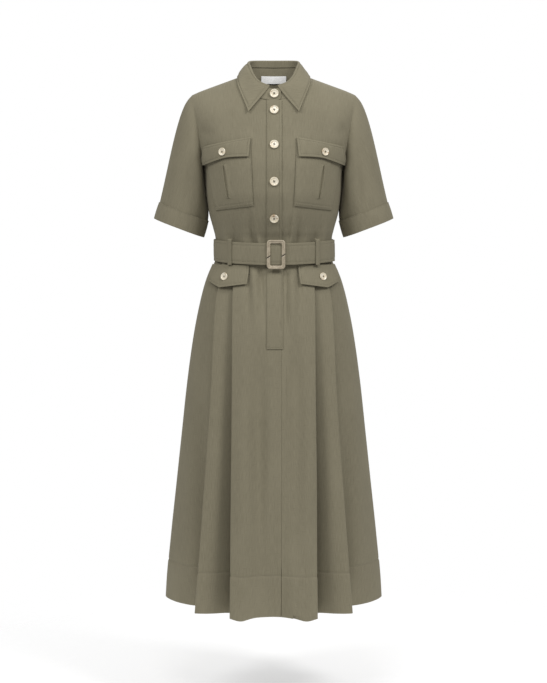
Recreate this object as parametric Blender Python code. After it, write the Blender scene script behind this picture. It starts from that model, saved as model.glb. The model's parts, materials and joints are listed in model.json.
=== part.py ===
"""Shirt dress with a collar, short sleeves, patch pockets, a pleated skirt and its own belt.

Metres, +Z up.  The front faces -Y and +X is the wearer's left.  The origin is the middle of the neck at the
height where the shoulder seams meet it, which is where the dress is held up.  Every piece is a closed wall of
cloth: its outer surface is worked out from the tables below, and its inner surface lies one thickness inside.
"""
import math

import bpy
import bmesh
from mathutils import Vector
from mathutils.bvhtree import BVHTree

# --- driving dimensions (metres) ------------------------------------------------------------------
CLOTH = 0.0012              # wall of one layer of cloth
DOUBLE = 0.0016             # wall of two layers, as in a flap, a band or a collar
SEAM = 0.0005               # space between two pieces sewn together
LIE = 0.0008                # space between a panel and what lies on it
WAIST = -0.374              # height of the waist seam
HEM = -1.144                # height of the skirt's edge
UNDERARM = -0.196           # height of the lowest point of the armhole
NECK_HALF = 0.072           # from the middle to the neck end of the shoulder seam
SHOULDER_HALF = 0.178       # from the middle to the sleeve end of the shoulder seam
RIDGE_TOP = 0.0062          # height of the shoulder seam at the neck
NECK_RISE = 0.0118          # how much higher its line would pass over the middle of the neck
SHOULDER_SLOPE = 0.363      # how fast the shoulder seam falls towards the sleeve
RIDGE_BACK = 0.004          # how far the shoulder seam lies behind the middle
FRONT_NECK = -0.046         # height of the neckline at the centre front
BACK_NECK = 0.004           # height of the neckline at the centre back
BAND_EDGE = 0.0170          # free edge of the button band, past the centre
BAND_SEAM = -0.0147         # its sewn edge

# The body's girth by height.  Power 2 is an ellipse, and a higher one is squarer.
BODY_COLUMNS = ("height", "half_width", "front", "back", "power")
BODY = (
    (-0.374, 0.1262, 0.0960, 0.0860, 2.20),
    (-0.343, 0.1276, 0.0995, 0.0880, 2.20),
    (-0.326, 0.1315, 0.1060, 0.0910, 2.20),
    (-0.286, 0.1420, 0.1210, 0.0980, 2.22),
    (-0.242, 0.1478, 0.1300, 0.1050, 2.25),
    (-0.196, 0.1512, 0.1290, 0.1100, 2.30),
    (-0.150, 0.1655, 0.1190, 0.1130, 2.35),
    (-0.109, 0.1780, 0.1040, 0.1110, 2.40),
    (-0.060, 0.1930, 0.0860, 0.1030, 2.40),
    (-0.030, 0.2010, 0.0770, 0.0960, 2.40),
    (0.0100, 0.2080, 0.0720, 0.0850, 2.40),
)

# The side seam and then the armhole, from the waist up to the tip of the shoulder.
EDGE_COLUMNS = ("height", "half_width")
EDGE = (
    (-0.374, 0.1262),
    (-0.343, 0.1276),
    (-0.326, 0.1315),
    (-0.286, 0.1420),
    (-0.242, 0.1478),
    (-0.196, 0.1512),
    (-0.186, 0.1558),
    (-0.1525, 0.1582),
    (-0.109, 0.1645),
    (-0.060, 0.1738),
    (-0.0323, 0.1780),
    (0.0200, 0.1780),
)

# The skirt's girth by height.
SKIRT_COLUMNS = ("height", "half_width", "front", "back")
SKIRT = (
    (-0.374, 0.1262, 0.0960, 0.0860),
    (-0.403, 0.1284, 0.0977, 0.0888),
    (-0.420, 0.1415, 0.1035, 0.0995),
    (-0.449, 0.1520, 0.1140, 0.1110),
    (-0.484, 0.1610, 0.1260, 0.1210),
    (-0.554, 0.1750, 0.1430, 0.1350),
    (-0.660, 0.1900, 0.1580, 0.1500),
    (-0.783, 0.2035, 0.1730, 0.1650),
    (-0.889, 0.2150, 0.1860, 0.1780),
    (-0.994, 0.2265, 0.1990, 0.1900),
    (-1.100, 0.2365, 0.2100, 0.2010),
    (-1.144, 0.2390, 0.2140, 0.2050),
)
SKIRT_POWER = 2.2


# --- reading the tables ---------------------------------------------------------------------------
def knot_slopes(xs, ys):
    """Slopes of a smooth curve through the points that never overshoots them."""
    steps = [(ys[i + 1] - ys[i]) / (xs[i + 1] - xs[i]) for i in range(len(xs) - 1)]
    slopes = [steps[0]]
    for before, after in zip(steps, steps[1:]):
        flat = before * after <= 0.0
        slopes.append(0.0 if flat else 2.0 * before * after / (before + after))
    slopes.append(steps[-1])
    return slopes


def smooth_value(xs, ys, x):
    """Value at x of a smooth curve through the points, level beyond both ends."""
    if x <= xs[0]:
        return ys[0]
    if x >= xs[-1]:
        return ys[-1]
    slopes = knot_slopes(xs, ys)
    i = max(k for k in range(len(xs) - 1) if xs[k] <= x)
    span = xs[i + 1] - xs[i]
    u = (x - xs[i]) / span
    rise = ys[i] * (2 * u ** 3 - 3 * u ** 2 + 1) + ys[i + 1] * (3 * u ** 2 - 2 * u ** 3)
    return rise + span * (slopes[i] * (u ** 3 - 2 * u ** 2 + u) + slopes[i + 1] * (u ** 3 - u ** 2))


def look_up(table, columns, name, height):
    """One column of a table, read smoothly at a height."""
    rows = sorted(table)
    place = columns.index(name)
    return smooth_value([row[0] for row in rows], [row[place] for row in rows], height)


def body(name, height):
    return look_up(BODY, BODY_COLUMNS, name, height)


def edge_half(height):
    return look_up(EDGE, EDGE_COLUMNS, "half_width", height)


def skirt(name, height):
    return look_up(SKIRT, SKIRT_COLUMNS, name, height)


def oval_depth(x, half_width, depth, power):
    """How far a squared oval reaches in front of its middle at x."""
    reach = min(abs(x) / half_width, 1.0)
    return depth * (1.0 - reach ** power) ** (1.0 / power)


def mix(a, b, t):
    return a + (b - a) * t


# --- the bodice's surface -------------------------------------------------------------------------
ROLL = {"front": 0.075, "back": 0.055}      # how far below the shoulder seam the cloth starts to turn over it


def ridge_height(x):
    """Height of the shoulder seam's line above x."""
    if abs(x) < NECK_HALF:
        return RIDGE_TOP + NECK_RISE * (1.0 - abs(x) / NECK_HALF)
    return RIDGE_TOP - SHOULDER_SLOPE * (abs(x) - NECK_HALF)


def neckline_height(x, face):
    """Height of the neckline, a quarter of an oval on each side."""
    low = FRONT_NECK if face == "front" else BACK_NECK
    reach = min(abs(x) / NECK_HALF, 1.0)
    return low + (RIDGE_TOP - low) * (1.0 - math.sqrt(1.0 - reach ** 2))


def top_height(x, face):
    return neckline_height(x, face) if abs(x) < NECK_HALF else ridge_height(x)


def bodice_y(x, height, face, off=0.0):
    """The bodice's outer surface, or one off it: a girth that turns over the shoulder in a quarter oval."""
    depth = oval_depth(x, body("half_width", height), body(face, height), body("power", height)) + off
    drop = max(ridge_height(x) + off - height, 0.0)
    level = 1.0 - min(drop / (ROLL[face] + off), 1.0)
    turned = math.sqrt(1.0 - level ** 2)
    if face == "front":
        return mix(RIDGE_BACK - SEAM * 0.6, -depth, turned)
    return mix(RIDGE_BACK + SEAM * 0.6, depth, turned)


def bodice_point(x, height, face="front"):
    return Vector((x, bodice_y(x, height, face), height))


def surface_normal(point_at, x, height, step=0.0015):
    """Outward normal of a surface given as point_at(x, height)."""
    across = point_at(x + step, height) - point_at(x - step, height)
    up = point_at(x, height + step) - point_at(x, height - step)
    normal = across.cross(up).normalized()
    middle = Vector((0.0, 0.0, height))
    return normal if normal.dot(point_at(x, height) - middle) > 0.0 else -normal


# --- walls ----------------------------------------------------------------------------------------
def grid_normals(grid, round_u, round_v=False):
    """Averaged normals of a grid of points, grid[row][column]."""
    rows = len(grid)
    columns = len(grid[0])
    sums = [[Vector((0.0, 0.0, 0.0)) for _ in range(columns)] for _ in range(rows)]
    for i in range(rows if round_v else rows - 1):
        for j in range(columns if round_u else columns - 1):
            below = (i + 1) % rows
            beside = (j + 1) % columns
            corners = ((i, j), (i, beside), (below, beside), (below, j))
            a, b, c, d = (grid[r][k] for r, k in corners)
            normal = (c - a).cross(d - b)
            for r, k in corners:
                sums[r][k] += normal
    return [[normal.normalized() for normal in row] for row in sums]


def wall(name, grid, thickness, material, round_u=False, lift=0.0):
    """A closed wall on a grid of outer points, whose normals (columns x rows) point outwards.

    lift moves the whole wall outwards, which is how a piece lies on the panel whose points it repeats.
    """
    normals = grid_normals(grid, round_u)
    rows = len(grid)
    columns = len(grid[0])
    mesh = bmesh.new()
    outer = []
    inner = []
    for points, directions in zip(grid, normals):
        outer.append([mesh.verts.new(p + n * (lift + thickness)) for p, n in zip(points, directions)])
        inner.append([mesh.verts.new(p + n * lift) for p, n in zip(points, directions)])
    spans = columns if round_u else columns - 1
    for i in range(rows - 1):
        for j in range(spans):
            k = (j + 1) % columns
            mesh.faces.new((outer[i][j], outer[i][k], outer[i + 1][k], outer[i + 1][j]))
            mesh.faces.new((inner[i][j], inner[i + 1][j], inner[i + 1][k], inner[i][k]))
    for j in range(spans):
        k = (j + 1) % columns
        mesh.faces.new((outer[0][k], outer[0][j], inner[0][j], inner[0][k]))
        mesh.faces.new((outer[-1][j], outer[-1][k], inner[-1][k], inner[-1][j]))
    if not round_u:
        for i in range(rows - 1):
            mesh.faces.new((outer[i][0], outer[i + 1][0], inner[i + 1][0], inner[i][0]))
            mesh.faces.new((outer[i + 1][-1], outer[i][-1], inner[i][-1], inner[i + 1][-1]))
    return finish(name, mesh, material)


def finish(name, mesh, material):
    """Make the mesh an object with its faces outwards, smooth where it is round."""
    bmesh.ops.recalc_face_normals(mesh, faces=mesh.faces)
    data = bpy.data.meshes.new(name)
    mesh.to_mesh(data)
    mesh.free()
    data.shade_smooth()
    data.set_sharp_from_angle(angle=math.radians(50.0))
    data.materials.append(material)
    piece = bpy.data.objects.new(name, data)
    bpy.context.scene.collection.objects.link(piece)
    return piece


def make_material(name, colour, roughness):
    material = bpy.data.materials.new(name)
    material.use_nodes = True
    shader = material.node_tree.nodes["Principled BSDF"]
    shader.inputs["Base Color"].default_value = (*colour, 1.0)
    shader.inputs["Roughness"].default_value = roughness
    shader.inputs["Metallic"].default_value = 0.0
    return material


# --- bodice ---------------------------------------------------------------------------------------
# Heights of the rows from the waist to the underarm.
SIDE_HEIGHTS = (WAIST + SEAM, -0.345, -0.318, -0.287, -0.256, -0.226)
SIDE_ROWS = len(SIDE_HEIGHTS)
ARM_ROWS = 4                # rows from the underarm to where the shoulder starts to turn
TURN_ROWS = 5               # rows over the shoulder


def column_heights(x_top, face):
    """Heights of one column's rows, the same count in every column."""
    top = top_height(x_top, face)
    roll = ROLL[face]
    start = ridge_height(x_top) - roll
    last = math.asin(1.0 - (ridge_height(x_top) - top) / roll)
    heights = list(SIDE_HEIGHTS)
    heights += [mix(UNDERARM, start, k / ARM_ROWS) for k in range(ARM_ROWS)]
    for k in range(TURN_ROWS + 1):
        heights.append(start + roll * math.sin(last * k / TURN_ROWS))
    return heights


def bodice_column(share, face):
    """The points of one column, share of the way from the centre to the side."""
    points = []
    for height in column_heights(share * SHOULDER_HALF, face):
        points.append(bodice_point(share * edge_half(height), height, face))
    return points


# Columns of a bodice half as shares of the way to its edge: closer at the neck's corner and at the
# side.
NECK_SHARE = NECK_HALF / SHOULDER_HALF
SHARES = (0.0, 0.13, 0.24, 0.32, 0.37, 0.398, NECK_SHARE, 0.50, 0.61, 0.72, 0.81, 0.885, 0.94, 0.98, 1.0)


def turn_grid(columns):
    """Rows of points from columns of points."""
    return [list(row) for row in zip(*columns)]


def make_bodice(cloth):
    """Both fronts, which meet under the button band, and the back."""
    half = [share for share in SHARES if share > 0.0]
    right_edge = (BAND_SEAM + 0.0040) / SHOULDER_HALF
    left_edge = right_edge + SEAM / SHOULDER_HALF * 1.6
    right = [-share for share in reversed(half) if share > abs(right_edge) * 1.2] + [right_edge]
    left = [left_edge, 0.0] + half
    for name, shares in (("bodice_front_right", right), ("bodice_front_left", left)):
        columns = [bodice_column(share, "front") for share in shares]
        wall(name, turn_grid(columns), CLOTH, cloth, lift=-CLOTH)
    around = [share for share in reversed(SHARES)] + [-share for share in half]
    columns = [bodice_column(share, "back") for share in around]
    for column in (columns[0], columns[-1]):
        for point in column[:SIDE_ROWS + 1]:
            point.y += SEAM * 1.5
    wall("bodice_back", turn_grid(columns), CLOTH, cloth, lift=-CLOTH)


# --- what lies on the bodice's front --------------------------------------------------------------
class FrontFaces:
    """The faces of the bodice's front, so that what lies on it follows them and not the rounder formula."""

    def __init__(self):
        shares = [-share for share in reversed(SHARES)] + [share for share in SHARES if share > 0.0]
        rows = turn_grid([bodice_column(share, "front") for share in shares])
        points = [point for row in rows for point in row]
        count = len(shares)
        quads = []
        for i in range(len(rows) - 1):
            for j in range(count - 1):
                a = i * count + j
                quads.append((a, a + 1, a + count + 1, a + count))
        self.tree = BVHTree.FromPolygons(points, quads)

    def point(self, x, height):
        """The place on the faces straight behind (x, height), at most up to the armhole's edge."""
        inside = math.copysign(min(abs(x), edge_half(height) - 0.0025), x)
        hit = self.tree.ray_cast(Vector((inside, -1.0, height)), Vector((0.0, 1.0, 0.0)))[0]
        if hit is None:
            hit = bodice_point(inside, height)
        return hit + Vector((x - inside, 0.0, 0.0))


FRONT_FACES = FrontFaces()


# --- button band ----------------------------------------------------------------------------------
def lying_patch(name, outline_rows, point_at, thickness, material, lift=LIE):
    """A flat piece on a panel: rows of (x, height) read on the panel's surface and moved out."""
    grid = [[point_at(x, height) for x, height in row] for row in outline_rows]
    return wall(name, grid, thickness, material, lift=lift)


def band_rows(left, right, low, high, rows, columns):
    """Rows of (x, height) over an upright band."""
    result = []
    for i in range(rows + 1):
        height = mix(low, high, i / rows)
        result.append([(mix(left, right, j / columns), height) for j in range(columns + 1)])
    return result


def make_front_band(cloth):
    heights = column_heights(0.0, "front")[:-1] + [FRONT_NECK - SEAM]
    rows = [[(x, height) for x in (BAND_SEAM, 0.0, BAND_EDGE)] for height in heights]
    lying_patch("front_placket", rows, FRONT_FACES.point, DOUBLE, cloth)


# --- sleeves --------------------------------------------------------------------------------------
SLEEVE_ROWS = 8
CUFF_TOP = Vector((0.1974, 0.012, -0.2882))         # middle of the sleeve's end, on the wearer's left
CUFF_END = Vector((0.2078, 0.012, -0.3224))         # middle of the cuff's end
CUFF_ACROSS = Vector((-0.934, 0.0, -0.357))         # from the outer side of the opening to the inner side
CUFF_HALF = (0.0555, 0.0563)                        # half the opening's width at the cuff's top and end
CUFF_DEEP = 0.0600                                  # half the opening from front to back
SLEEVE_HANG = Vector((0.24, 0.0, -0.97))            # the way the sleeve hangs at its end
CROWN_OUT = Vector((0.83, 0.0, -0.55))              # the way it leaves the tip of the shoulder
UNDER_OUT = Vector((-0.05, 0.0, -1.00))             # the way it leaves the underarm
CUFF_PROUD = 0.0006


def armhole_loop():
    """The bodice's armhole edge from the shoulder's tip down the front, and up the back."""
    front = bodice_column(1.0, "front")[SIDE_ROWS:]
    back = bodice_column(1.0, "back")[SIDE_ROWS + 1:-1]
    return list(reversed(front)) + back


def loop_angles(loop):
    """Angle of each point of a closed loop, by its share of the length."""
    lengths = [(loop[(k + 1) % len(loop)] - loop[k]).length for k in range(len(loop))]
    total = sum(lengths)
    return [2.0 * math.pi * sum(lengths[:k]) / total for k in range(len(loop))]


def cuff_ring(middle, half, angles, proud=0.0):
    """A ring round the arm: angle 0 is its outer side, a quarter turn is its front."""
    points = []
    for angle in angles:
        across = CUFF_ACROSS * (-math.cos(angle) * (half + proud))
        points.append(middle + across + Vector((0.0, -math.sin(angle) * (CUFF_DEEP + proud), 0.0)))
    return points


def bezier(a, b, c, d, t):
    u = 1.0 - t
    return a * u ** 3 + b * (3 * u * u * t) + c * (3 * u * t * t) + d * t ** 3


def sleeve_grid():
    """Rings of points from the armhole to the cuff, on the wearer's left."""
    loop = armhole_loop()
    angles = loop_angles(loop)
    ends = cuff_ring(CUFF_TOP, CUFF_HALF[0], angles)
    columns = []
    for start, end, angle in zip(loop, ends, angles):
        crown = (1.0 + math.cos(angle)) / 2.0
        bulge = Vector((0.0, -math.sin(angle) * 0.22, 0.0))
        leave = UNDER_OUT.lerp(CROWN_OUT, crown) + bulge
        start = start + Vector((2.2 * SEAM, 0.0, 0.0)) + leave * SEAM
        first = start + leave * mix(0.040, 0.036, crown)
        last = end - SLEEVE_HANG * mix(0.020, 0.1065, crown)
        columns.append([bezier(start, first, last, end, k / SLEEVE_ROWS) for k in range(SLEEVE_ROWS + 1)])
    return turn_grid(columns), angles


def mirrored(grid, side):
    """The grid on the wearer's left (side 1) or right (side -1), its normals still outwards."""
    if side > 0:
        return grid
    return [[Vector((-p.x, p.y, p.z)) for p in reversed(row)] for row in grid]


SIDES = (("right", -1), ("left", 1))


def make_sleeves(cloth):
    grid, angles = sleeve_grid()
    step = (CUFF_END - CUFF_TOP).normalized() * SEAM
    cuff = [
        cuff_ring(CUFF_TOP + step, CUFF_HALF[0], angles, CUFF_PROUD),
        cuff_ring((CUFF_TOP + CUFF_END) / 2, sum(CUFF_HALF) / 2, angles, CUFF_PROUD),
        cuff_ring(CUFF_END, CUFF_HALF[1], angles, CUFF_PROUD),
    ]
    for name, side in SIDES:
        wall("sleeve_" + name, mirrored(grid, side), CLOTH, cloth, round_u=True, lift=-CLOTH)
        wall("cuff_" + name, mirrored(cuff, side), DOUBLE, cloth, round_u=True, lift=-DOUBLE)


# --- collar ---------------------------------------------------------------------------------------
# The top of the collar's fold round the neck, by the angle from the centre front.
ROLL_COLUMNS = ("angle", "half_x", "y", "z")
ROLL_LINE = (
    (0.0, 0.0000, -0.0690, -0.0210),
    (25.0, 0.0262, -0.0640, -0.0115),
    (50.0, 0.0418, -0.0470, 0.0060),
    (75.0, 0.0507, -0.0180, 0.0275),
    (90.0, 0.0535, 0.0040, 0.0350),
    (120.0, 0.0485, 0.0340, 0.0402),
    (150.0, 0.0288, 0.0510, 0.0418),
    (180.0, 0.0000, 0.0580, 0.0422),
)
# The collar's outer edge, on the bodice, by the same angle.
LEAF_COLUMNS = ("angle", "half_x", "z")
LEAF_EDGE = (
    (8.0, 0.0540, -0.0740),
    (25.0, 0.0595, -0.0590),
    (45.0, 0.0665, -0.0420),
    (62.0, 0.0730, -0.0260),
    (75.0, 0.0775, -0.0130),
    (84.0, 0.0793, -0.0010),
    (90.0, 0.0795, 0.0074),
)
LEAF_HALF = 0.0795          # half the collar's width over the shoulder seams
LEAF_BACK = 0.0820          # how far its outer edge reaches behind them
LEAF_LOW = -0.0065          # height of its outer edge at the centre back
# Columns of a collar half, from its front corner to the centre back: closer over the shoulder seam.
COLLAR_ANGLES = (8.0, 18.0, 30.0, 42.0, 54.0, 65.0, 75.0, 84.0)
COLLAR_ANGLES += (90.0, 97.0, 110.0, 125.0, 143.0, 162.0, 180.0)
LEAF_OFF = 0.0040           # how far the collar's outer edge stands off the bodice
TAB_ANGLE = 13.0            # how far the stand's ends pass the centre front
TAB_OFF = 0.0024            # how far the outer end of the stand lies over the inner one
FOLD_HALF = 0.0028          # half the thickness of the fold at the collar's top
STAND_IN = 0.0004           # how far the stand lies inside the neckline
STAND_UP = 0.0014           # and how far above it


def neck_point(angle):
    """The neckline, by the angle from the centre front towards the wearer's right."""
    turn = math.radians(angle)
    x = -NECK_HALF * math.sin(turn)
    face = "front" if math.cos(turn) > 0.0 else "back"
    return bodice_point(x, neckline_height(x, face), face)


def fold_angle(angle):
    """The angle on the half from the centre front (0) to the centre back (180), and its side."""
    angle = (angle + 360.0) % 360.0
    return (angle, -1.0) if angle <= 180.0 else (360.0 - angle, 1.0)


def roll_point(angle):
    turn, side = fold_angle(angle)
    x, y, z = (look_up(ROLL_LINE, ROLL_COLUMNS, name, turn) for name in ROLL_COLUMNS[1:])
    return Vector((side * x, y, z))


def back_height(x, back):
    """Height of the surface LEAF_OFF off the bodice's back, at a distance behind the shoulder seams."""
    top = ridge_height(x) + LEAF_OFF
    depth = oval_depth(x, body("half_width", 0.0), body("back", 0.0), body("power", 0.0)) + LEAF_OFF
    turned = min(back / (depth - RIDGE_BACK), 1.0)
    return top - (ROLL["back"] + LEAF_OFF) * (1.0 - math.sqrt(1.0 - turned ** 2))


def leaf_point(angle):
    turn, side = fold_angle(angle)
    if turn <= 90.0:
        x = look_up(LEAF_EDGE, LEAF_COLUMNS, "half_x", turn)
        z = min(look_up(LEAF_EDGE, LEAF_COLUMNS, "z", turn), ridge_height(x) + LEAF_OFF)
        return Vector((side * x, bodice_y(x, z, "front", LEAF_OFF), z))
    x = LEAF_HALF * math.sin(math.radians(turn))
    back = LEAF_BACK * -math.cos(math.radians(turn))
    return Vector((side * x, RIDGE_BACK + back, max(back_height(x, back), LEAF_LOW)))


def away(angle):
    """Level direction away from the neck's middle."""
    ahead = roll_point(angle + 2.0) - roll_point(angle - 2.0)
    out = Vector((ahead.y, -ahead.x, 0.0)).normalized()
    return out if out.dot(roll_point(angle) - Vector((0.0, -0.002, 0.0))) > 0.0 else -out


def stand_share(angle):
    """How much of the way from the neckline to the fold the stand's top lies."""
    turn, _ = fold_angle(angle)
    return mix(0.90, 0.62, min(turn / 90.0, 1.0))


def make_collar(cloth):
    half = [-TAB_ANGLE, 0.0, TAB_ANGLE, 27.0] + [angle for angle in COLLAR_ANGLES if angle > 40.0]
    angles = half + [360.0 - angle for angle in reversed(half[:-1])]
    columns = []
    for angle in angles:
        lap = smooth_value((TAB_ANGLE, 40.0), (TAB_OFF, 0.0), angle)
        shift = away(angle) * (lap - STAND_IN)
        low = neck_point(angle) + Vector((0.0, 0.0, STAND_UP)) + shift
        high = neck_point(angle).lerp(roll_point(angle), stand_share(angle)) + shift
        columns.append([low, low.lerp(high, 0.5), high])
    around = turn_grid(columns)
    wall("collar_stand", [list(reversed(row)) for row in around], DOUBLE, cloth, lift=-DOUBLE)

    angles = list(COLLAR_ANGLES) + [360.0 - angle for angle in reversed(COLLAR_ANGLES[:-1])]
    columns = []
    for angle in angles:
        out = away(angle)
        roll = roll_point(angle)
        edge = leaf_point(angle)
        base = neck_point(angle).lerp(roll, stand_share(angle))
        rise = (roll - base).normalized()
        inner = -out * DOUBLE
        crest = roll + out * (FOLD_HALF - DOUBLE) + Vector((0.0, 0.0, FOLD_HALF))
        start = roll + out * (2 * FOLD_HALF - DOUBLE)
        first = start - rise * 0.012 + out * 0.003
        last = edge.lerp(start, 0.35) + out * 0.002
        column = [base + rise * SEAM * 3 + inner, roll + inner, crest]
        column += [bezier(start, first, last, edge, k / 4) for k in range(5)]
        columns.append(column)
    wall("collar", turn_grid(columns), DOUBLE, cloth, lift=-DOUBLE)


LABEL_HALF = 0.0273
LABEL_TOP = 0.0020
LABEL_LOW = -0.0140
LABEL_THICK = 0.0008


def make_label(cloth):
    """A small bare label on the inside of the back, under the neckline."""
    rows = band_rows(-LABEL_HALF, LABEL_HALF, LABEL_LOW, LABEL_TOP, 2, 4)

    def inside(x, height):
        normal = surface_normal(lambda a, h: bodice_point(a, h, "back"), x, height)
        return bodice_point(x, height, "back") - normal * CLOTH

    lying_patch("neck_label", rows, inside, LABEL_THICK, cloth)


# --- skirt ----------------------------------------------------------------------------------------
CENTRE_SEAM = 0.0172        # the centre front seam, on the wearer's left of the middle
SLIT_TOP = -1.043           # the seam is open below this
SLIT_HALF = 0.0008
# Where each pleat's fold edge lies across the front and the back, by height.
PLEAT_COLUMNS = ("height", "front_1", "front_2", "back_1", "back_2")
PLEATS = (
    (-0.374, 0.0850, 0.1085, 0.0650, 0.1020),
    (-0.449, 0.0880, 0.1200, 0.0700, 0.1140),
    (-0.484, 0.0895, 0.1265, 0.0730, 0.1190),
    (-0.682, 0.0905, 0.1370, 0.0800, 0.1330),
    (-1.144, 0.0955, 0.1715, 0.0920, 0.1650),
)
# How far each pleat steps in behind its fold edge, at the waist and at the hem, and how the cloth
# comes out again to the next edge: a higher power comes out sooner.
STEPS = {                   # waist, hem, power
    "front_1": (0.0052, 0.0700, 1.2),
    "front_2": (0.0052, 0.0860, 1.3),
    "back_1": (0.0052, 0.0460, 1.2),
    "back_2": (0.0052, 0.0600, 1.3),
}
LAP = (0.0200, 0.0110)      # how far a pleat's underlay reaches back, at the waist and at the hem
TURN = (0.0016, 0.0050)     # half width of the turn at a fold edge, at the waist and at the hem
STEP_GROWTH = 1.3
HEM_SIDE_LIFT = 0.0050      # how much higher the hem hangs at the side seams
CENTRE_DIP = {"front": 0.024, "back": 0.016}        # how far the centre panel sinks at the hem
SKIRT_HEIGHTS = (-1.144, -1.090, -1.010, -0.900, -0.790, -0.680, -0.580, -0.500, -0.450, -0.421, -0.404)
SKIRT_HEIGHTS += (WAIST - SEAM,)
QUARTER_STEPS = 160
CENTRE_SPANS = 5


def growth(height):
    """0 at the waist and 1 at the hem."""
    return (WAIST - height) / (WAIST - HEM)


class Quarter:
    """A quarter of the skirt's squared oval at one height, from the centre to the side."""

    def __init__(self, height, face):
        self.points = []
        width = skirt("half_width", height)
        depth = skirt(face, height)
        for k in range(QUARTER_STEPS + 1):
            turn = math.pi / 2 * k / QUARTER_STEPS
            x = width * math.sin(turn) ** (2.0 / SKIRT_POWER)
            y = depth * max(math.cos(turn), 0.0) ** (2.0 / SKIRT_POWER)
            self.points.append((x, y))
        self.lengths = [0.0]
        for (ax, ay), (bx, by) in zip(self.points, self.points[1:]):
            self.lengths.append(self.lengths[-1] + math.hypot(bx - ax, by - ay))
        self.total = self.lengths[-1]

    def length_at(self, x):
        """Distance along the oval to the place x from the centre."""
        for k in range(QUARTER_STEPS):
            ax = self.points[k][0]
            bx = self.points[k + 1][0]
            if ax <= x <= bx:
                return mix(self.lengths[k], self.lengths[k + 1], (x - ax) / (bx - ax))
        return self.total

    def place(self, length, inward):
        """(x, y) at a distance along the oval, moved inward from it."""
        if length < 0.0:
            x, y = self.place(-length, inward)
            return -x, y
        length = min(length, self.total)
        k = max(i for i in range(QUARTER_STEPS) if self.lengths[i] <= length)
        (ax, ay), (bx, by) = self.points[k], self.points[k + 1]
        span = self.lengths[k + 1] - self.lengths[k]
        t = (length - self.lengths[k]) / span
        nx, ny = -(by - ay) / span, (bx - ax) / span
        return mix(ax, bx, t) - nx * inward, mix(ay, by, t) - ny * inward


def centre_dip(x, height, face):
    """How far the centre panel sinks in between its two fold edges."""
    half = look_up(PLEATS, PLEAT_COLUMNS, face + "_1", height)
    bell = max(math.cos(math.pi / 2 * min(abs(x) / half, 1.0)), 0.0) ** 2
    return CENTRE_DIP[face] * growth(height) ** 1.5 * bell


def pleat_points(edge, step, lap, turn):
    """(length, inward) along one pleat: over its fold edge, back under it and out again."""
    quarter = step / 4.0
    points = []
    for degrees in (90, 35, -35, -90):
        angle = math.radians(degrees)
        points.append((edge - turn + turn * math.cos(angle), quarter * (1.0 - math.sin(angle))))
    for degrees in (90, 145, 215, 270):
        angle = math.radians(degrees)
        points.append((edge - lap + turn + turn * math.cos(angle), quarter * (3.0 - math.sin(angle))))
    return points


def skirt_half(height, face, start_x):
    """Points of one half of the skirt at a height, from start_x across the centre panel to the side seam.

    The wearer's left half and y towards the face: the caller turns them round for the others.
    """
    oval = Quarter(height, face)
    g = growth(height)
    lap = mix(*LAP, g)
    turn = mix(*TURN, g)
    names = (face + "_1", face + "_2")
    edges = [oval.length_at(look_up(PLEATS, PLEAT_COLUMNS, name, height)) for name in names]
    steps = [mix(STEPS[name][0], STEPS[name][1], g ** STEP_GROWTH) for name in names]
    start = oval.length_at(abs(start_x)) * (1.0 if start_x >= 0.0 else -1.0)
    flat = []
    for k in range(CENTRE_SPANS):
        length = mix(start, edges[0] - turn, k / CENTRE_SPANS)
        x, _ = oval.place(length, 0.0)
        flat.append((length, centre_dip(x, height, face)))
    ends = [edges[1] - turn, oval.total - SEAM]
    for index, name in enumerate(names):
        flat += pleat_points(edges[index], steps[index], lap, turn)
        out = edges[index] + turn
        flat.append((mix(edges[index] - lap + turn, out, 0.5), steps[index]))
        flat.append((out, steps[index]))
        spans = 3 if index == 0 else 4
        for k in range(1, spans):
            u = k / spans if index == 0 else math.sin(math.pi / 2 * k / spans)
            flat.append((mix(out, ends[index], u), steps[index] * (1.0 - u) ** STEPS[name][2]))
    flat.append((ends[1], 0.0))
    return [oval.place(length, inward) for length, inward in flat]


def between_rows(height):
    """The two rows of the skirt on either side of a height, and the share of the way from the first."""
    low = max(row for row in SKIRT_HEIGHTS[:-1] if row <= height)
    high = SKIRT_HEIGHTS[SKIRT_HEIGHTS.index(low) + 1]
    return low, high, (height - low) / (high - low)


def skirt_y(x, height):
    """The middle of the cloth on the centre front panel, at one of its rows."""
    depth = oval_depth(x, skirt("half_width", height), skirt("front", height), SKIRT_POWER)
    return -depth + centre_dip(x, height, "front")


def skirt_point(x, height):
    low, high, share = between_rows(height)
    return Vector((x, mix(skirt_y(x, low), skirt_y(x, high), share), height))


def make_skirt(cloth):
    grids = {"skirt_front_right": [], "skirt_front_left": [], "skirt_back": []}
    for height in SKIRT_HEIGHTS:
        part = SLIT_HALF if height < SLIT_TOP else SEAM * 0.7
        right = skirt_half(height, "front", -CENTRE_SEAM + part)
        left = skirt_half(height, "front", CENTRE_SEAM + part)
        back = skirt_half(height, "back", 0.0)
        rows = {
            "skirt_front_right": [Vector((-x, -y, height)) for x, y in reversed(right)],
            "skirt_front_left": [Vector((x, -y, height)) for x, y in left],
            "skirt_back": [Vector((x, y, height)) for x, y in reversed(back)],
        }
        rows["skirt_back"] += [Vector((-x, y, height)) for x, y in back[1:]]
        for name, row in rows.items():
            if height == HEM:
                for point in row:
                    point.z += HEM_SIDE_LIFT * (point.x / skirt("half_width", HEM)) ** 4
            grids[name].append(row)
    for name, grid in grids.items():
        wall(name, grid, CLOTH, cloth, lift=-CLOTH / 2)


FLY_LOW = -0.5805
FLY_PAST = 0.0022           # how far the band passes the centre seam


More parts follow.
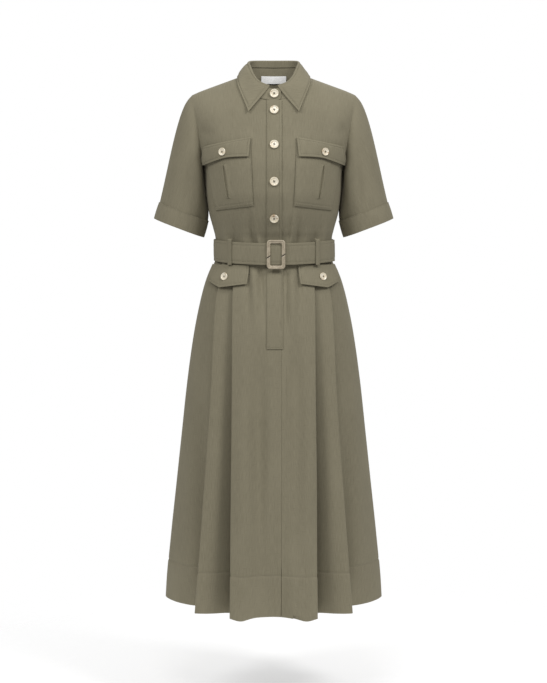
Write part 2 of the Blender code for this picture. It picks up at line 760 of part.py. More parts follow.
def make_fly_band(cloth):
    heights = [FLY_LOW] + [height for height in SKIRT_HEIGHTS if height > FLY_LOW]
    rows = [[(x, height) for x in (BAND_SEAM, 0.0, CENTRE_SEAM + FLY_PAST)] for height in heights]
    lying_patch("skirt_placket", rows, skirt_point, DOUBLE, cloth, lift=CLOTH / 2 + LIE)


# --- pockets and flaps ----------------------------------------------------------------------------
# Corners on the wearer's left, as (x, height): inner top, outer top, outer low, inner low.
POCKET = ((0.0480, -0.1480), (0.1480, -0.1560), (0.1240, -0.2830), (0.0430, -0.2730))
CHEST_FLAP = ((0.0490, -0.1290), (0.1490, -0.1452), (0.1520, -0.1870), (0.0525, -0.1700))
CHEST_FLAP_BEND = 0.0045    # how far the flap's low edge stands up between its corners
POCKET_OFF = 0.0014         # how far a patch pocket lies off the body
FLAP_OFF = 0.0030           # how far a flap's low edge stands off what is under it
SIDE_CLOSER = 1.7           # columns lie closer where the body turns to the side
HIP_FLAP_TOP = -0.4020
HIP_FLAP_CORNERS = (-0.4400, -0.4330)                   # towards the centre and towards the side
HIP_FLAP_POINT = -0.4485
HIP_FLAP_HALF = (0.0605, 0.0530)                        # half its width at the top and at its corners
HIP_FLAP_SHARE = (0.95, 1.06)                           # of that, towards the centre and towards the side
HIP_FLAP_PEAK = 0.25                                    # where its point lies between middle and side
HIP_BUTTON = (0.1025, -0.4255)


def corner_mix(corners, u, v):
    """A place between four corners: u from the inner to the outer side, v from the low edge to the top."""
    (ax, az), (bx, bz), (cx, cz), (dx, dz) = corners
    top = (mix(ax, bx, u), mix(az, bz, u))
    low = (mix(dx, cx, u), mix(dz, cz, u))
    return mix(low[0], top[0], v), mix(low[1], top[1], v)


def raised(x, height, lift):
    """A place off the bodice's front."""
    inside = math.copysign(min(abs(x), edge_half(height) - 0.0025), x)
    return FRONT_FACES.point(x, height) + surface_normal(bodice_point, inside, height) * lift


def chest_piece(name, corners, side, spans, bend, rise, cloth):
    """A patch on the bodice, whose low edge bends up by bend; rise gives how far it lies off and ahead."""
    grid = []
    for i in range(spans + 1):
        v = i / spans
        row = []
        for j in range(9):
            u = 1.0 - (1.0 - j / 8) ** SIDE_CLOSER
            x, height = corner_mix(corners, u, v)
            height += bend * (1.0 - v) * math.sin(math.pi * u) ** 2
            near, ahead = rise(u, v)
            row.append(raised(x, height, near) + Vector((0.0, -ahead, 0.0)))
        grid.append(row)
    wall(name, mirrored(grid, side), DOUBLE, cloth)


def make_chest_pockets(cloth):
    def pocket_rise(u, v):
        return POCKET_OFF, 0.0

    def flap_rise(u, v):
        return POCKET_OFF + LIE + DOUBLE, FLAP_OFF * (1.0 - v) ** 2 * (1.0 + 2.0 * u ** 4)

    for name, side in SIDES:
        chest_piece("chest_pocket_" + name, POCKET, side, 10, 0.0, pocket_rise, cloth)
        chest_piece("chest_flap_" + name, CHEST_FLAP, side, 4, CHEST_FLAP_BEND, flap_rise, cloth)


def hip_place(across, height, lift):
    """A place round the skirt's front, across from the button, on the wearer's left."""
    ends = []
    low, high, share = between_rows(height)
    for row in (low, high):
        oval = Quarter(row, "front")
        x, y = oval.place(oval.length_at(HIP_BUTTON[0]) + across, -lift)
        ends.append(Vector((x, -y, height)))
    return ends[0].lerp(ends[1], share)


def make_hip_flaps(cloth):
    grid = []
    for i in range(5):
        v = i / 4
        row = []
        for j in range(9):
            u = j / 4 - 1.0
            end = 0 if u < HIP_FLAP_PEAK else 1
            reach = abs(u - HIP_FLAP_PEAK) / (1.0 + HIP_FLAP_PEAK * (1 - 2 * end))
            low = mix(HIP_FLAP_POINT, HIP_FLAP_CORNERS[end], reach)
            across = u * mix(HIP_FLAP_HALF[1], HIP_FLAP_HALF[0], v) * HIP_FLAP_SHARE[0 if u < 0.0 else 1]
            lift = CLOTH / 2 + LIE + FLAP_OFF * (1.0 - v) ** 2
            row.append(hip_place(across, mix(low, HIP_FLAP_TOP, v), lift))
        grid.append(row)
    for name, side in SIDES:
        wall("hip_flap_" + name, mirrored(grid, side), DOUBLE, cloth)


# --- belt -----------------------------------------------------------------------------------------
BELT_WIDE = 0.0465
BELT_THICK = 0.0022
BELT_OVAL = (0.1292, 0.1048, 0.0915)        # inner half width, front and back
BELT_DIP = 0.0060                           # how much lower the belt lies at the front
BELT_MID = -0.3705
TAIL_OFF = 0.0034                           # how far the tail lies over the strap under it
BUCKLE_X = 0.0050
TAIL_END = 77.0                             # angle of the tail's end, from the centre front
TAIL_STAND = 0.0014                         # how far the tail's end stands off


def belt_middle(angle):
    return BELT_MID - BELT_DIP * max(math.cos(math.radians(angle)), 0.0) ** 2


def belt_place(angle, off, rise):
    """A place on the belt by the angle from the centre front towards the wearer's left."""
    turn = math.radians(angle)
    depth = BELT_OVAL[1] if math.cos(turn) > 0.0 else BELT_OVAL[2]
    share = 2.0 / SKIRT_POWER
    x = (BELT_OVAL[0] + off) * math.copysign(abs(math.sin(turn)) ** share, math.sin(turn))
    y = -(depth + off) * math.copysign(abs(math.cos(turn)) ** share, math.cos(turn))
    return Vector((x, y, belt_middle(angle) + rise))


def make_belt(cloth):
    first = 6.0
    last = 360.0 + TAIL_END
    count = 62
    columns = []
    for k in range(count + 1):
        angle = mix(first, last, k / count)
        over = smooth_value((336.0, 352.0), (0.0, TAIL_OFF), angle)
        over += smooth_value((410.0, last), (0.0, TAIL_STAND), angle)
        half = BELT_WIDE / 2
        columns.append([belt_place(angle, over, mix(-half, half, i / 2)) for i in range(3)])
    wall("belt", turn_grid(columns), BELT_THICK, cloth)


BUCKLE_WIDE = 0.0396
BUCKLE_TALL = 0.0622
BUCKLE_BAR = 0.0077
BUCKLE_THICK = 0.0040
BUCKLE_ROUND = 0.0070
BUCKLE_MID = -0.3773
BUCKLE_OFF = 0.0006         # space between the tail and the frame in front of it
WINDOW_ROUND = 0.0022       # smallest corner radius inside the frame
CENTRE_BAR = 0.0028
BAR_OFF = 0.0003            # space between the bar and the belt's inner oval
FOOT_TALL = 0.0025          # height of the feet that join the bar to the frame
SINK = 0.0005               # how far one block reaches into the next


def round_rectangle(wide, tall, radius, steps=4):
    """Points round a rectangle with round corners, anticlockwise."""
    points = []
    for quarter in range(4):
        sx = (1, -1, -1, 1)[quarter]
        sz = (1, 1, -1, -1)[quarter]
        for k in range(steps + 1):
            angle = math.pi / 2 * (quarter + k / steps)
            x = sx * (wide / 2 - radius) + radius * math.cos(angle)
            z = sz * (tall / 2 - radius) + radius * math.sin(angle)
            points.append((x, z))
    return points


def add_box(mesh, low, high):
    """A block from its lowest to its highest corner."""
    corners = [mesh.verts.new((x, y, z)) for z in (low[2], high[2]) for y in (low[1], high[1])
               for x in (low[0], high[0])]
    for face in ((0, 2, 3, 1), (4, 5, 7, 6), (0, 1, 5, 4), (2, 6, 7, 3), (0, 4, 6, 2), (1, 3, 7, 5)):
        mesh.faces.new([corners[k] for k in face])


def make_buckle(plastic):
    """A bevelled frame in front of the strap, and a bar behind the tail that the strap is sewn round."""
    inner_face = -(BELT_OVAL[1] + TAIL_OFF + BELT_THICK + BUCKLE_OFF)
    profile = (             # how far in from the outline, and how far forward
        (0.0, 0.0), (0.0, BUCKLE_THICK - 0.0010), (0.0010, BUCKLE_THICK),
        (BUCKLE_BAR - 0.0020, BUCKLE_THICK), (BUCKLE_BAR, BUCKLE_THICK - 0.0020), (BUCKLE_BAR, 0.0),
    )
    frame = bmesh.new()
    loops = []
    for inset, forward in profile:
        radius = max(BUCKLE_ROUND - inset, WINDOW_ROUND)
        outline = round_rectangle(BUCKLE_WIDE - 2 * inset, BUCKLE_TALL - 2 * inset, radius)
        y = inner_face - forward
        loops.append([frame.verts.new((BUCKLE_X + x, y, BUCKLE_MID + z)) for x, z in outline])
    count = len(loops[0])
    for a, b in zip(loops, loops[1:] + loops[:1]):
        for k in range(count):
            frame.faces.new((a[k], a[(k + 1) % count], b[(k + 1) % count], b[k]))
    piece = finish("buckle", frame, plastic)

    bar = bmesh.new()
    back = -BELT_OVAL[1] - BAR_OFF
    front = back - CENTRE_BAR
    half = CENTRE_BAR / 2
    top = BUCKLE_MID + BUCKLE_TALL / 2 - SINK
    low = BUCKLE_MID - BUCKLE_TALL / 2 + SINK
    add_box(bar, (BUCKLE_X - half, front, low + SINK), (BUCKLE_X + half, back, top - SINK))
    for foot_low, foot_high in ((top - FOOT_TALL, top), (low, low + FOOT_TALL)):
        add_box(bar, (BUCKLE_X - half - SINK, inner_face - 2 * SINK, foot_low),
                (BUCKLE_X + half + SINK, back + SINK, foot_high))
    tool = finish("buckle_bar_tool", bar, plastic)
    tool.hide_render = True
    tool.display_type = "WIRE"
    union = piece.modifiers.new("bar", "BOOLEAN")
    union.operation = "UNION"
    union.object = tool
    union.use_self = True


LOOP_HALF = 0.0052
LOOP_THICK = 0.0015
LOOP_TOP = -0.3440
LOOP_LOW = -0.4000
LOOP_OFF = 0.0006           # space between the belt and a loop over it
LOOP_ROOT = 0.0004          # how near its turned end comes to the bodice
LOOPS = (
    ("belt_loop_front_right", -43.5, 0.0),
    ("belt_loop_front_left", 42.0, TAIL_OFF),
    ("belt_loop_back_right", -132.0, 0.0),
    ("belt_loop_back_left", 132.0, 0.0),
)


def belt_speed(angle):
    """Metres along the belt for each degree, which changes round its squared oval."""
    return (belt_place(angle + 0.5, 0.0, 0.0) - belt_place(angle - 0.5, 0.0, 0.0)).length


def make_belt_loops(cloth):
    """Narrow strips over the belt, turned in to the bodice above it."""
    for name, angle, over in LOOPS:
        clear = over + BELT_THICK + LOOP_OFF
        steps = [(LOOP_TOP, LOOP_ROOT), (LOOP_TOP, clear * 0.6), (LOOP_TOP - LIE, clear)]
        steps += [(height, clear) for height in (-0.3600, -0.3750, -0.3900, LOOP_LOW)]
        grid = []
        for height, off in reversed(steps):
            row = []
            for share in (-1.0, 0.0, 1.0):
                swing = share * LOOP_HALF / belt_speed(angle)
                place = belt_place(angle + swing, off, 0.0)
                row.append(Vector((place.x, place.y, height)))
            grid.append(row)
        wall(name, grid, LOOP_THICK, cloth)


# --- buttons --------------------------------------------------------------------------------------
BUTTON_SIDES = 14


def make_button(name, place, normal, radius, horn):
    """A turned button, dished in front, on its place and facing along the normal."""
    profile = (             # share of the radius, and how far forward
        (0.0, 0.0), (0.78, 0.0), (1.0, 0.0013), (0.97, 0.0030), (0.80, 0.0034), (0.62, 0.0024),
        (0.0, 0.0022),
    )
    mesh = bmesh.new()
    rings = []
    for share, forward in profile[1:-1]:
        ring = []
        for k in range(BUTTON_SIDES):
            angle = 2.0 * math.pi * k / BUTTON_SIDES
            x = radius * share * math.cos(angle)
            y = radius * share * math.sin(angle)
            ring.append(mesh.verts.new((x, y, forward)))
        rings.append(ring)
    for a, b in zip(rings, rings[1:]):
        for k in range(BUTTON_SIDES):
            n = (k + 1) % BUTTON_SIDES
            mesh.faces.new((a[k], a[n], b[n], b[k]))
    for ring, forward in ((rings[0], profile[0][1]), (rings[-1], profile[-1][1])):
        tip = mesh.verts.new((0.0, 0.0, forward))
        for k in range(BUTTON_SIDES):
            mesh.faces.new((ring[k], ring[(k + 1) % BUTTON_SIDES], tip))
    piece = finish(name, mesh, horn)
    piece.rotation_mode = "QUATERNION"
    piece.rotation_quaternion = normal.to_track_quat("Z", "Y")
    piece.location = place


PLACKET_BUTTONS = (-0.0335, -0.0705, -0.1445, -0.2220, -0.2995)
PLACKET_BUTTON_X = 0.0011
CHEST_BUTTON = (0.1090, -0.1588)
BUTTON_RADIUS = {"placket": 0.0095, "pocket": 0.0085}


def make_buttons(horn):
    for number, height in enumerate(PLACKET_BUTTONS, start=1):
        if number == 1:
            base = neck_point(0.0).lerp(roll_point(0.0), 0.5)
            normal = Vector((0.0, -1.0, 0.12)).normalized()
            place = Vector((PLACKET_BUTTON_X, base.y - TAB_OFF - 0.0030, height))
        else:
            normal = surface_normal(bodice_point, PLACKET_BUTTON_X, height)
            place = raised(PLACKET_BUTTON_X, height, LIE + DOUBLE + SEAM)
        make_button(f"placket_button_{number}", place, normal, BUTTON_RADIUS["placket"], horn)
    for name, side in SIDES:
        x, height = CHEST_BUTTON
        lift = POCKET_OFF + LIE + 2 * DOUBLE + SEAM
        place = raised(x, height, lift) + Vector((0.0, -FLAP_OFF * 0.7, 0.0))
        normal = surface_normal(bodice_point, x, height)
        make_button("chest_button_" + name, Vector((side * place.x, place.y, place.z)),
                    Vector((side * normal.x, normal.y, normal.z)), BUTTON_RADIUS["pocket"], horn)
        lift = CLOTH / 2 + LIE + DOUBLE + FLAP_OFF * 0.35 + SEAM * 3
        place = hip_place(0.0, HIP_BUTTON[1], lift)
        normal = hip_place(0.0, HIP_BUTTON[1], lift + 0.01) - place
        normal = (normal.normalized() + Vector((0.0, 0.0, 0.22))).normalized()
        make_button("hip_button_" + name, Vector((side * place.x, place.y, place.z)),
                    Vector((side * normal.x, normal.y, normal.z)), BUTTON_RADIUS["pocket"], horn)


def main():
    for old in list(bpy.data.objects):
        bpy.data.objects.remove(old)
    cloth = make_material("khaki_twill", (0.216, 0.193, 0.137), 0.88)
    label = make_material("white_satin", (0.58, 0.58, 0.57), 0.6)
    horn = make_material("ivory_horn", (0.72, 0.63, 0.48), 0.25)
    plastic = make_material("beige_buckle", (0.42, 0.33, 0.23), 0.4)
    make_bodice(cloth)
    make_front_band(cloth)
    make_sleeves(cloth)
    make_collar(cloth)
    make_label(label)
    make_skirt(cloth)
    make_fly_band(cloth)
    make_chest_pockets(cloth)
    make_hip_flaps(cloth)
    make_belt(cloth)
    make_buckle(plastic)
    make_belt_loops(cloth)
    make_buttons(horn)


main()
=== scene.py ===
# %% [markdown]
# # A shirt dress, filled out as if someone stood in it
# The real dress is cut from flat cloth and sewn. Here every cut piece is a thin closed wall on a curved
# surface. The CAD solids of the same dress are the frame: each piece made here stands for one of them and
# keeps its place. We load the frame first.

# %% Load the frame
import json
import math

import bpy
import numpy as np
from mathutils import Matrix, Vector

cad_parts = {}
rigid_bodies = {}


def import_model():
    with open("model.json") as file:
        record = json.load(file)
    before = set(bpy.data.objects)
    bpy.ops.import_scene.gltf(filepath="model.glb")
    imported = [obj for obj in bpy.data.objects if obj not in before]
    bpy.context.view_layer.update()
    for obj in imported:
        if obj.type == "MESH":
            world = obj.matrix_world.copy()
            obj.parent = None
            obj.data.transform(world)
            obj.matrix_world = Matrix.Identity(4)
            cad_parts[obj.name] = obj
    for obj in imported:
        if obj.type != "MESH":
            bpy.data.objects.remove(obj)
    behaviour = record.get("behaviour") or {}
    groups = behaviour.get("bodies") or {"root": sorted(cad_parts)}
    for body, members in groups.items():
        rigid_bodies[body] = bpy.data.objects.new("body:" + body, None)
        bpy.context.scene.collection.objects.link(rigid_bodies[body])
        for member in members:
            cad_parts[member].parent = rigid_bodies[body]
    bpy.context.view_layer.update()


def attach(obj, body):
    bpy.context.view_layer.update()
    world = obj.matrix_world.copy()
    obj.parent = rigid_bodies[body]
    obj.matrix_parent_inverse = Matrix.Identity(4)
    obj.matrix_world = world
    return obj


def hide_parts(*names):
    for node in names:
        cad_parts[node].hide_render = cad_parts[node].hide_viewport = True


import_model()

# %% [markdown]
# ## Where we look from
# The camera comes early, so that every piece can be looked at as soon as it is made. A long lens from four
# metres keeps the proportions of a tall garment honest. The lens follows from the height that the view takes
# in at the dress, so one number sets the framing.

# %% Camera
VIEW_TALL = 1.5026          # metres of height seen at the middle of the dress
VIEW_MIDDLE = -0.5720       # height of the view's middle
EYE = Vector((-0.0004, -4.2, -0.25))
SENSOR = 36.0
scene = bpy.context.scene


def in_scene(name, data):
    """A new object that holds the data, linked to the scene."""
    thing = bpy.data.objects.new(name, data)
    scene.collection.objects.link(thing)
    return thing


def aimed(thing, place, line):
    """Put a camera or a lamp at a place, looking along a line."""
    thing.location = place
    thing.rotation_mode = "QUATERNION"
    thing.rotation_quaternion = line.to_track_quat("-Z", "Y")


aim = Vector((EYE.x, 0.0, VIEW_MIDDLE)) - EYE
camera_data = bpy.data.cameras.new("camera")
camera_data.sensor_width = SENSOR
camera_data.lens = SENSOR * aim.length / VIEW_TALL
scene.camera = in_scene("camera", camera_data)
aimed(scene.camera, EYE, aim)
print("camera: lens", round(camera_data.lens, 1), "mm")

# %% [markdown]
# ## Light and floor
# Cloth shows its folds when soft light comes mostly from one side and the shadows stay open. A pale world
# opens the shadows, a soft box high on the right models the folds, a weaker one on the left fills, and a
# small one over the camera lifts the chest. The Standard view keeps the colours as they were mixed. The floor
# is a pale disc that fades out at its rim, so that no horizon shows behind the dress.

# %% Light
WORLD_SEEN = 1.0
WORLD_LIGHT = 0.38
# name, place, watts, size
SOFT_BOXES = (
    ("key", (2.1, -2.0, 2.1), 62.0, 1.2),
    ("fill", (-2.1, -2.0, 1.9), 40.0, 1.2),
    ("top", (-0.2, -2.3, 1.7), 17.0, 1.0),
    ("back", (0.6, 3.0, 1.8), 40.0, 2.4),
)
LIT = Vector((0.0, 0.0, -0.5))      # the boxes look at this place


def with_inputs(node, values):
    """The node with its inputs set by name, with _ for a space."""
    for key, value in values.items():
        node.inputs[key.replace("_", " ")].default_value = value
    return node


def node_of(tree, kind, **values):
    """A new node with its inputs set by name."""
    return with_inputs(tree.nodes.new(kind), values)


def linked(tree, *pairs):
    """Link each pair of an output and an input."""
    for source, target in pairs:
        tree.links.new(source, target)


scene.view_settings.view_transform = "Standard"
world = bpy.data.worlds.new("studio")
world.use_nodes = True
scene.world = world
tree = world.node_tree
background = with_inputs(tree.nodes["Background"], {"Color": (1.0, 1.0, 1.0, 1.0)})
ray_kind = node_of(tree, "ShaderNodeLightPath")
strength = node_of(tree, "ShaderNodeMapRange", To_Min=WORLD_LIGHT, To_Max=WORLD_SEEN)
linked(tree, (ray_kind.outputs["Is Camera Ray"], strength.inputs["Value"]),
       (strength.outputs["Result"], background.inputs["Strength"]))
for name, place, watts, size in SOFT_BOXES:
    light = bpy.data.lights.new(name, "AREA")
    light.energy = watts
    light.size = size
    aimed(in_scene(name, light), place, LIT - Vector(place))
print("light:", len(SOFT_BOXES), "soft boxes")

# %% Floor
FLOOR = -1.36
FLOOR_RADIUS = 1.3
FLOOR_FADE = (0.35, 0.96 * FLOOR_RADIUS)    # it fades out between these distances from its middle
RIM_CORNERS = 120


def new_material(name, **values):
    """A material, its tree and its shader, with the shader's inputs set by name."""
    material = bpy.data.materials.new(name)
    material.use_nodes = True
    tree = material.node_tree
    return material, tree, with_inputs(tree.nodes["Principled BSDF"], values)


def vector_maths(tree, operation):
    node = tree.nodes.new("ShaderNodeVectorMath")
    node.operation = operation
    return node


paper, tree, paper_shader = new_material(
    "pale_paper", Base_Color=(0.90, 0.90, 0.90, 1.0), Roughness=0.9,
    Emission_Color=(1.0, 1.0, 1.0, 1.0), Emission_Strength=0.30)
here = node_of(tree, "ShaderNodeTexCoord")
flat = vector_maths(tree, "MULTIPLY")
flat.inputs[1].default_value = (1.0, 1.0, 0.0)
far = vector_maths(tree, "LENGTH")
fading = node_of(tree, "ShaderNodeMapRange", From_Min=FLOOR_FADE[0], From_Max=FLOOR_FADE[1])
fading.interpolation_type = "SMOOTHSTEP"
clear = node_of(tree, "ShaderNodeBsdfTransparent")
both = node_of(tree, "ShaderNodeMixShader")
linked(tree, (here.outputs["Object"], flat.inputs[0]), (flat.outputs["Vector"], far.inputs[0]),
       (far.outputs["Value"], fading.inputs["Value"]), (fading.outputs["Result"], both.inputs["Fac"]),
       (paper_shader.outputs["BSDF"], both.inputs[1]), (clear.outputs["BSDF"], both.inputs[2]),
       (both.outputs["Shader"], tree.nodes["Material Output"].inputs["Surface"]))
rim = [math.radians(360.0 / RIM_CORNERS * k) for k in range(RIM_CORNERS)]
floor_points = [(FLOOR_RADIUS * math.cos(a), FLOOR_RADIUS * math.sin(a), FLOOR) for a in rim]
floor_mesh = bpy.data.meshes.new("floor")
floor_mesh.from_pydata(floor_points, [], [tuple(range(RIM_CORNERS))])
floor_mesh.materials.append(paper)
in_scene("floor", floor_mesh)
print("floor: at", FLOOR)

# %% [markdown]
# ## The cloth
# A matte twill of mixed yarns: some yarns are thicker for a few centimetres, which shows as faint streaks
# along the length of the cloth. Each piece carries a UV map in metres that runs with its own grain, so the
# weave keeps its true size and turns with the piece, as it does when a cutter lays out a pattern. The colour
# varies at three sizes: the streaks of yarn, fainter bands across them, and a slow unevenness of the dye. The
# twill's fine diagonal is a relief on the surface.

# %% Twill material
KHAKI = (0.243, 0.219, 0.151)
KHAKI_DEEP = (0.196, 0.175, 0.118)
STREAK_SCALE = (900.0, 45.0, 1.0)       # yarns to a metre across the grain and along it
WEFT_SCALE = (60.0, 800.0, 1.0)
TWILL_RIBS = 620.0                      # diagonal ribs to a metre
DYE_SCALE = (9.0, 5.0, 1.0)
RIB_LEAN = 34.0                         # degrees that they turn from the length
UV_NAME = "cloth"


def noise_on(tree, uv, scale, detail, rough=0.5):
    """A noise stretched along the grain."""
    place = node_of(tree, "ShaderNodeMapping", Scale=scale)
    noise = node_of(tree, "ShaderNodeTexNoise", Scale=1.0, Detail=detail, Roughness=rough)
    linked(tree, (uv, place.inputs["Vector"]), (place.outputs["Vector"], noise.inputs["Vector"]))
    return noise.outputs["Fac"]


def blended(tree, factor, low, high, first, second):
    """One of two colours by a factor read between low and high."""
    spread = node_of(tree, "ShaderNodeMapRange", From_Min=low, From_Max=high)
    mixed = tree.nodes.new("ShaderNodeMix")
    mixed.data_type = "RGBA"
    linked(tree, (factor, spread.inputs["Value"]), (spread.outputs["Result"], mixed.inputs["Factor"]))
    for socket, colour in (("A", first), ("B", second)):
        target = [s for s in mixed.inputs if s.name == socket and s.type == "RGBA"][0]
        if isinstance(colour, tuple):
            target.default_value = (*colour, 1.0)
        else:
            linked(tree, (colour, target))
    return [s for s in mixed.outputs if s.type == "RGBA"][0]


def own_uv(tree):
    """The piece's own UV map, in metres."""
    node = tree.nodes.new("ShaderNodeUVMap")
    node.uv_map = UV_NAME
    return node.outputs["UV"]


def raised(tree, shader, height, strength, distance):
    """Fine relief on the shader, from a height."""
    relief = node_of(tree, "ShaderNodeBump", Strength=strength, Distance=distance)
    linked(tree, (height, relief.inputs["Height"]), (relief.outputs["Normal"], shader.inputs["Normal"]))


def make_twill(name, light, deep):
    material, tree, shader = new_material(
        name, Roughness=0.86, Specular_IOR_Level=0.22, Sheen_Weight=0.12, Sheen_Roughness=0.55,
        Sheen_Tint=(0.80, 0.76, 0.62, 1.0))
    uv = own_uv(tree)
    streaks = noise_on(tree, uv, STREAK_SCALE, 3.0)
    wefts = noise_on(tree, uv, WEFT_SCALE, 2.0)
    dye = noise_on(tree, uv, DYE_SCALE, 2.0)
    colour = blended(tree, streaks, 0.30, 0.72, deep, light)
    colour = blended(tree, wefts, 0.58, 0.80, colour, tuple(0.92 * c for c in deep))
    colour = blended(tree, dye, 0.50, 0.95, colour, tuple(1.06 * c for c in light))
    turned = node_of(tree, "ShaderNodeMapping", Rotation=(0.0, 0.0, math.radians(RIB_LEAN)))
    ribs = node_of(tree, "ShaderNodeTexWave", Scale=TWILL_RIBS / 20.0, Distortion=0.6, Detail=1.0)
    heights = tree.nodes.new("ShaderNodeMath")
    heights.operation = "MULTIPLY_ADD"
    heights.inputs[1].default_value = 0.55
    linked(tree, (colour, shader.inputs["Base Color"]), (uv, turned.inputs["Vector"]),
           (turned.outputs["Vector"], ribs.inputs["Vector"]), (ribs.outputs["Fac"], heights.inputs[0]),
           (streaks, heights.inputs[2]))
    raised(tree, shader, heights.outputs["Value"], 0.35, 0.00025)
    return material


twill = make_twill("khaki_twill_cloth", KHAKI, KHAKI_DEEP)
print("material:", twill.name)

# %% [markdown]
# ## A wall of cloth on a grid
# Nearly every piece is a grid of points in rows and columns. A helper turns such a grid into a closed wall:
# the outer points, the same points moved in along the surface's own direction, and a strip round the rim. It
# also lays out the UV map by the real distance along the rows and columns.

# %% Grid helpers
CLOTH = 0.0010              # one layer
DOUBLE = 0.0014             # two layers sewn together
BUILT = {}
PIECES = {}                 # grids that are stitched later


def grid_normals(grid, round_u=False):
    """Outward directions of a grid whose normals are across x up."""
    if round_u:
        across = np.roll(grid, -1, axis=1) - np.roll(grid, 1, axis=1)
    else:
        across = np.gradient(grid, axis=1)
    normal = np.cross(across, np.gradient(grid, axis=0))
    return normal / np.maximum(np.linalg.norm(normal, axis=2, keepdims=True), 1e-12)


def lengths_along(grid, axis):
    steps = np.linalg.norm(np.diff(grid, axis=axis), axis=2)
    total = np.cumsum(steps, axis=axis)
    return np.concatenate([np.zeros_like(np.take(total, [0], axis=axis)), total], axis=axis)


def grid_uv(grid, round_u):
    """UV in metres: across by each row's length from its middle, up by the columns' mean length."""
    full = np.concatenate([grid, grid[:, :1]], axis=1) if round_u else grid
    across = lengths_along(full, 1)
    across = across - across[:, across.shape[1] // 2][:, None]
    up = lengths_along(full, 0).mean(axis=1)[:, None] * np.ones_like(across)
    return np.stack([across, up], axis=2)


def flat_size(grid, round_u=False):
    """The widest row, the longest column and the area of the outer surface, in metres."""
    full = np.concatenate([grid, grid[:, :1]], axis=1) if round_u else grid
    wide = lengths_along(full, 1)[:, -1].max()
    tall = lengths_along(full, 0)[-1].max()
    a = full[1:, 1:] - full[:-1, :-1]
    b = full[1:, :-1] - full[:-1, 1:]
    area = 0.5 * np.linalg.norm(np.cross(a, b), axis=2).sum()
    return float(wide), float(tall), float(area)


def mesh_object(name, points, faces, material, uvs=None, sharp=None):
    """A smooth mesh object. The uvs have a pair for each corner of each face, and edges turned by more
    than the sharp angle stay sharp."""
    mesh = bpy.data.meshes.new(name)
    mesh.from_pydata(points, [], faces)
    if uvs is not None:
        layer = mesh.uv_layers.new(name=UV_NAME)
        layer.data.foreach_set("uv", np.ascontiguousarray(uvs, dtype=np.float32).ravel())
    mesh.shade_smooth()
    if sharp:
        mesh.set_sharp_from_angle(angle=math.radians(sharp))
    mesh.materials.append(material)
    return in_scene(name, mesh)


def cloth_wall(name, grid, thickness, material, round_u=False):
    """A closed wall whose outer face is the grid (rows from low to high)."""
    grid = np.asarray(grid, dtype=float)
    rows, columns = grid.shape[:2]
    inner = grid - grid_normals(grid, round_u) * thickness
    points = np.concatenate([grid.reshape(-1, 3), inner.reshape(-1, 3)])
    uv = grid_uv(grid, round_u)
    half = rows * columns
    spans = columns if round_u else columns - 1
    i, j = np.meshgrid(np.arange(rows - 1), np.arange(spans), indexing="ij")
    i, j = i.ravel(), j.ravel()
    quads = [
        (np.stack([i, i, i + 1, i + 1], 1), np.stack([j, j + 1, j + 1, j], 1), (0, 0, 0, 0)),
        (np.stack([i, i + 1, i + 1, i], 1), np.stack([j, j, j + 1, j + 1], 1), (1, 1, 1, 1)),
    ]
    c = np.arange(spans)
    low, top = np.zeros_like(c), np.full_like(c, rows - 1)
    quads.append((np.stack([low] * 4, 1), np.stack([c + 1, c, c, c + 1], 1), (0, 0, 1, 1)))
    quads.append((np.stack([top] * 4, 1), np.stack([c, c + 1, c + 1, c], 1), (0, 0, 1, 1)))
    if not round_u:
        r = np.arange(rows - 1)
        left, right = np.zeros_like(r), np.full_like(r, columns - 1)
        quads.append((np.stack([r, r + 1, r + 1, r], 1), np.stack([left] * 4, 1), (0, 0, 1, 1)))
        quads.append((np.stack([r + 1, r, r, r + 1], 1), np.stack([right] * 4, 1), (0, 0, 1, 1)))
    faces, uvs = [], []
    for rows_at, columns_at, side in quads:
        faces.append(rows_at * columns + columns_at % columns + np.array(side) * half)
        uvs.append(uv[rows_at, columns_at])
    return mesh_object(name, points.tolist(), np.concatenate(faces).tolist(), material,
                       np.concatenate(uvs), 40.0)


def keep(piece, nodes, held=None, grid=None, round_u=False):
    """Attach a piece, hide the nodes it stands for, and print it, with the size its cloth was cut when held is given.
    """
    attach(piece, "root")
    if nodes:
        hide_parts(*nodes)
    said = ""
    if held:
        wide, tall, area = flat_size(grid, round_u)
        area = min(area, wide * tall)
        said = f", cut {wide:.3f} x {tall:.3f} m, {area:.4f} m2"
    BUILT[piece.name] = piece
    print(f"{piece.name}: {len(piece.data.polygons)} faces{said}")


def cut_piece(node, grid, thickness, held, round_u=False, name=None):
    """A wall of twill that stands for a node; when held is given, the size its cloth was cut is printed."""
    piece = cloth_wall((name or node) + "_cloth", grid, thickness, twill, round_u)
    keep(piece, [node], held, grid, round_u)


print("helpers ready")

# %% [markdown]
# ## The body under the cloth
# A dress form is a stack of squared ovals. The table gives its half width and its depth at the front and
# the back for each height, and a smooth curve runs through the rows without overshooting them. The bodice
# follows it up to the shoulder and turns over the shoulder seam in a quarter of an oval.

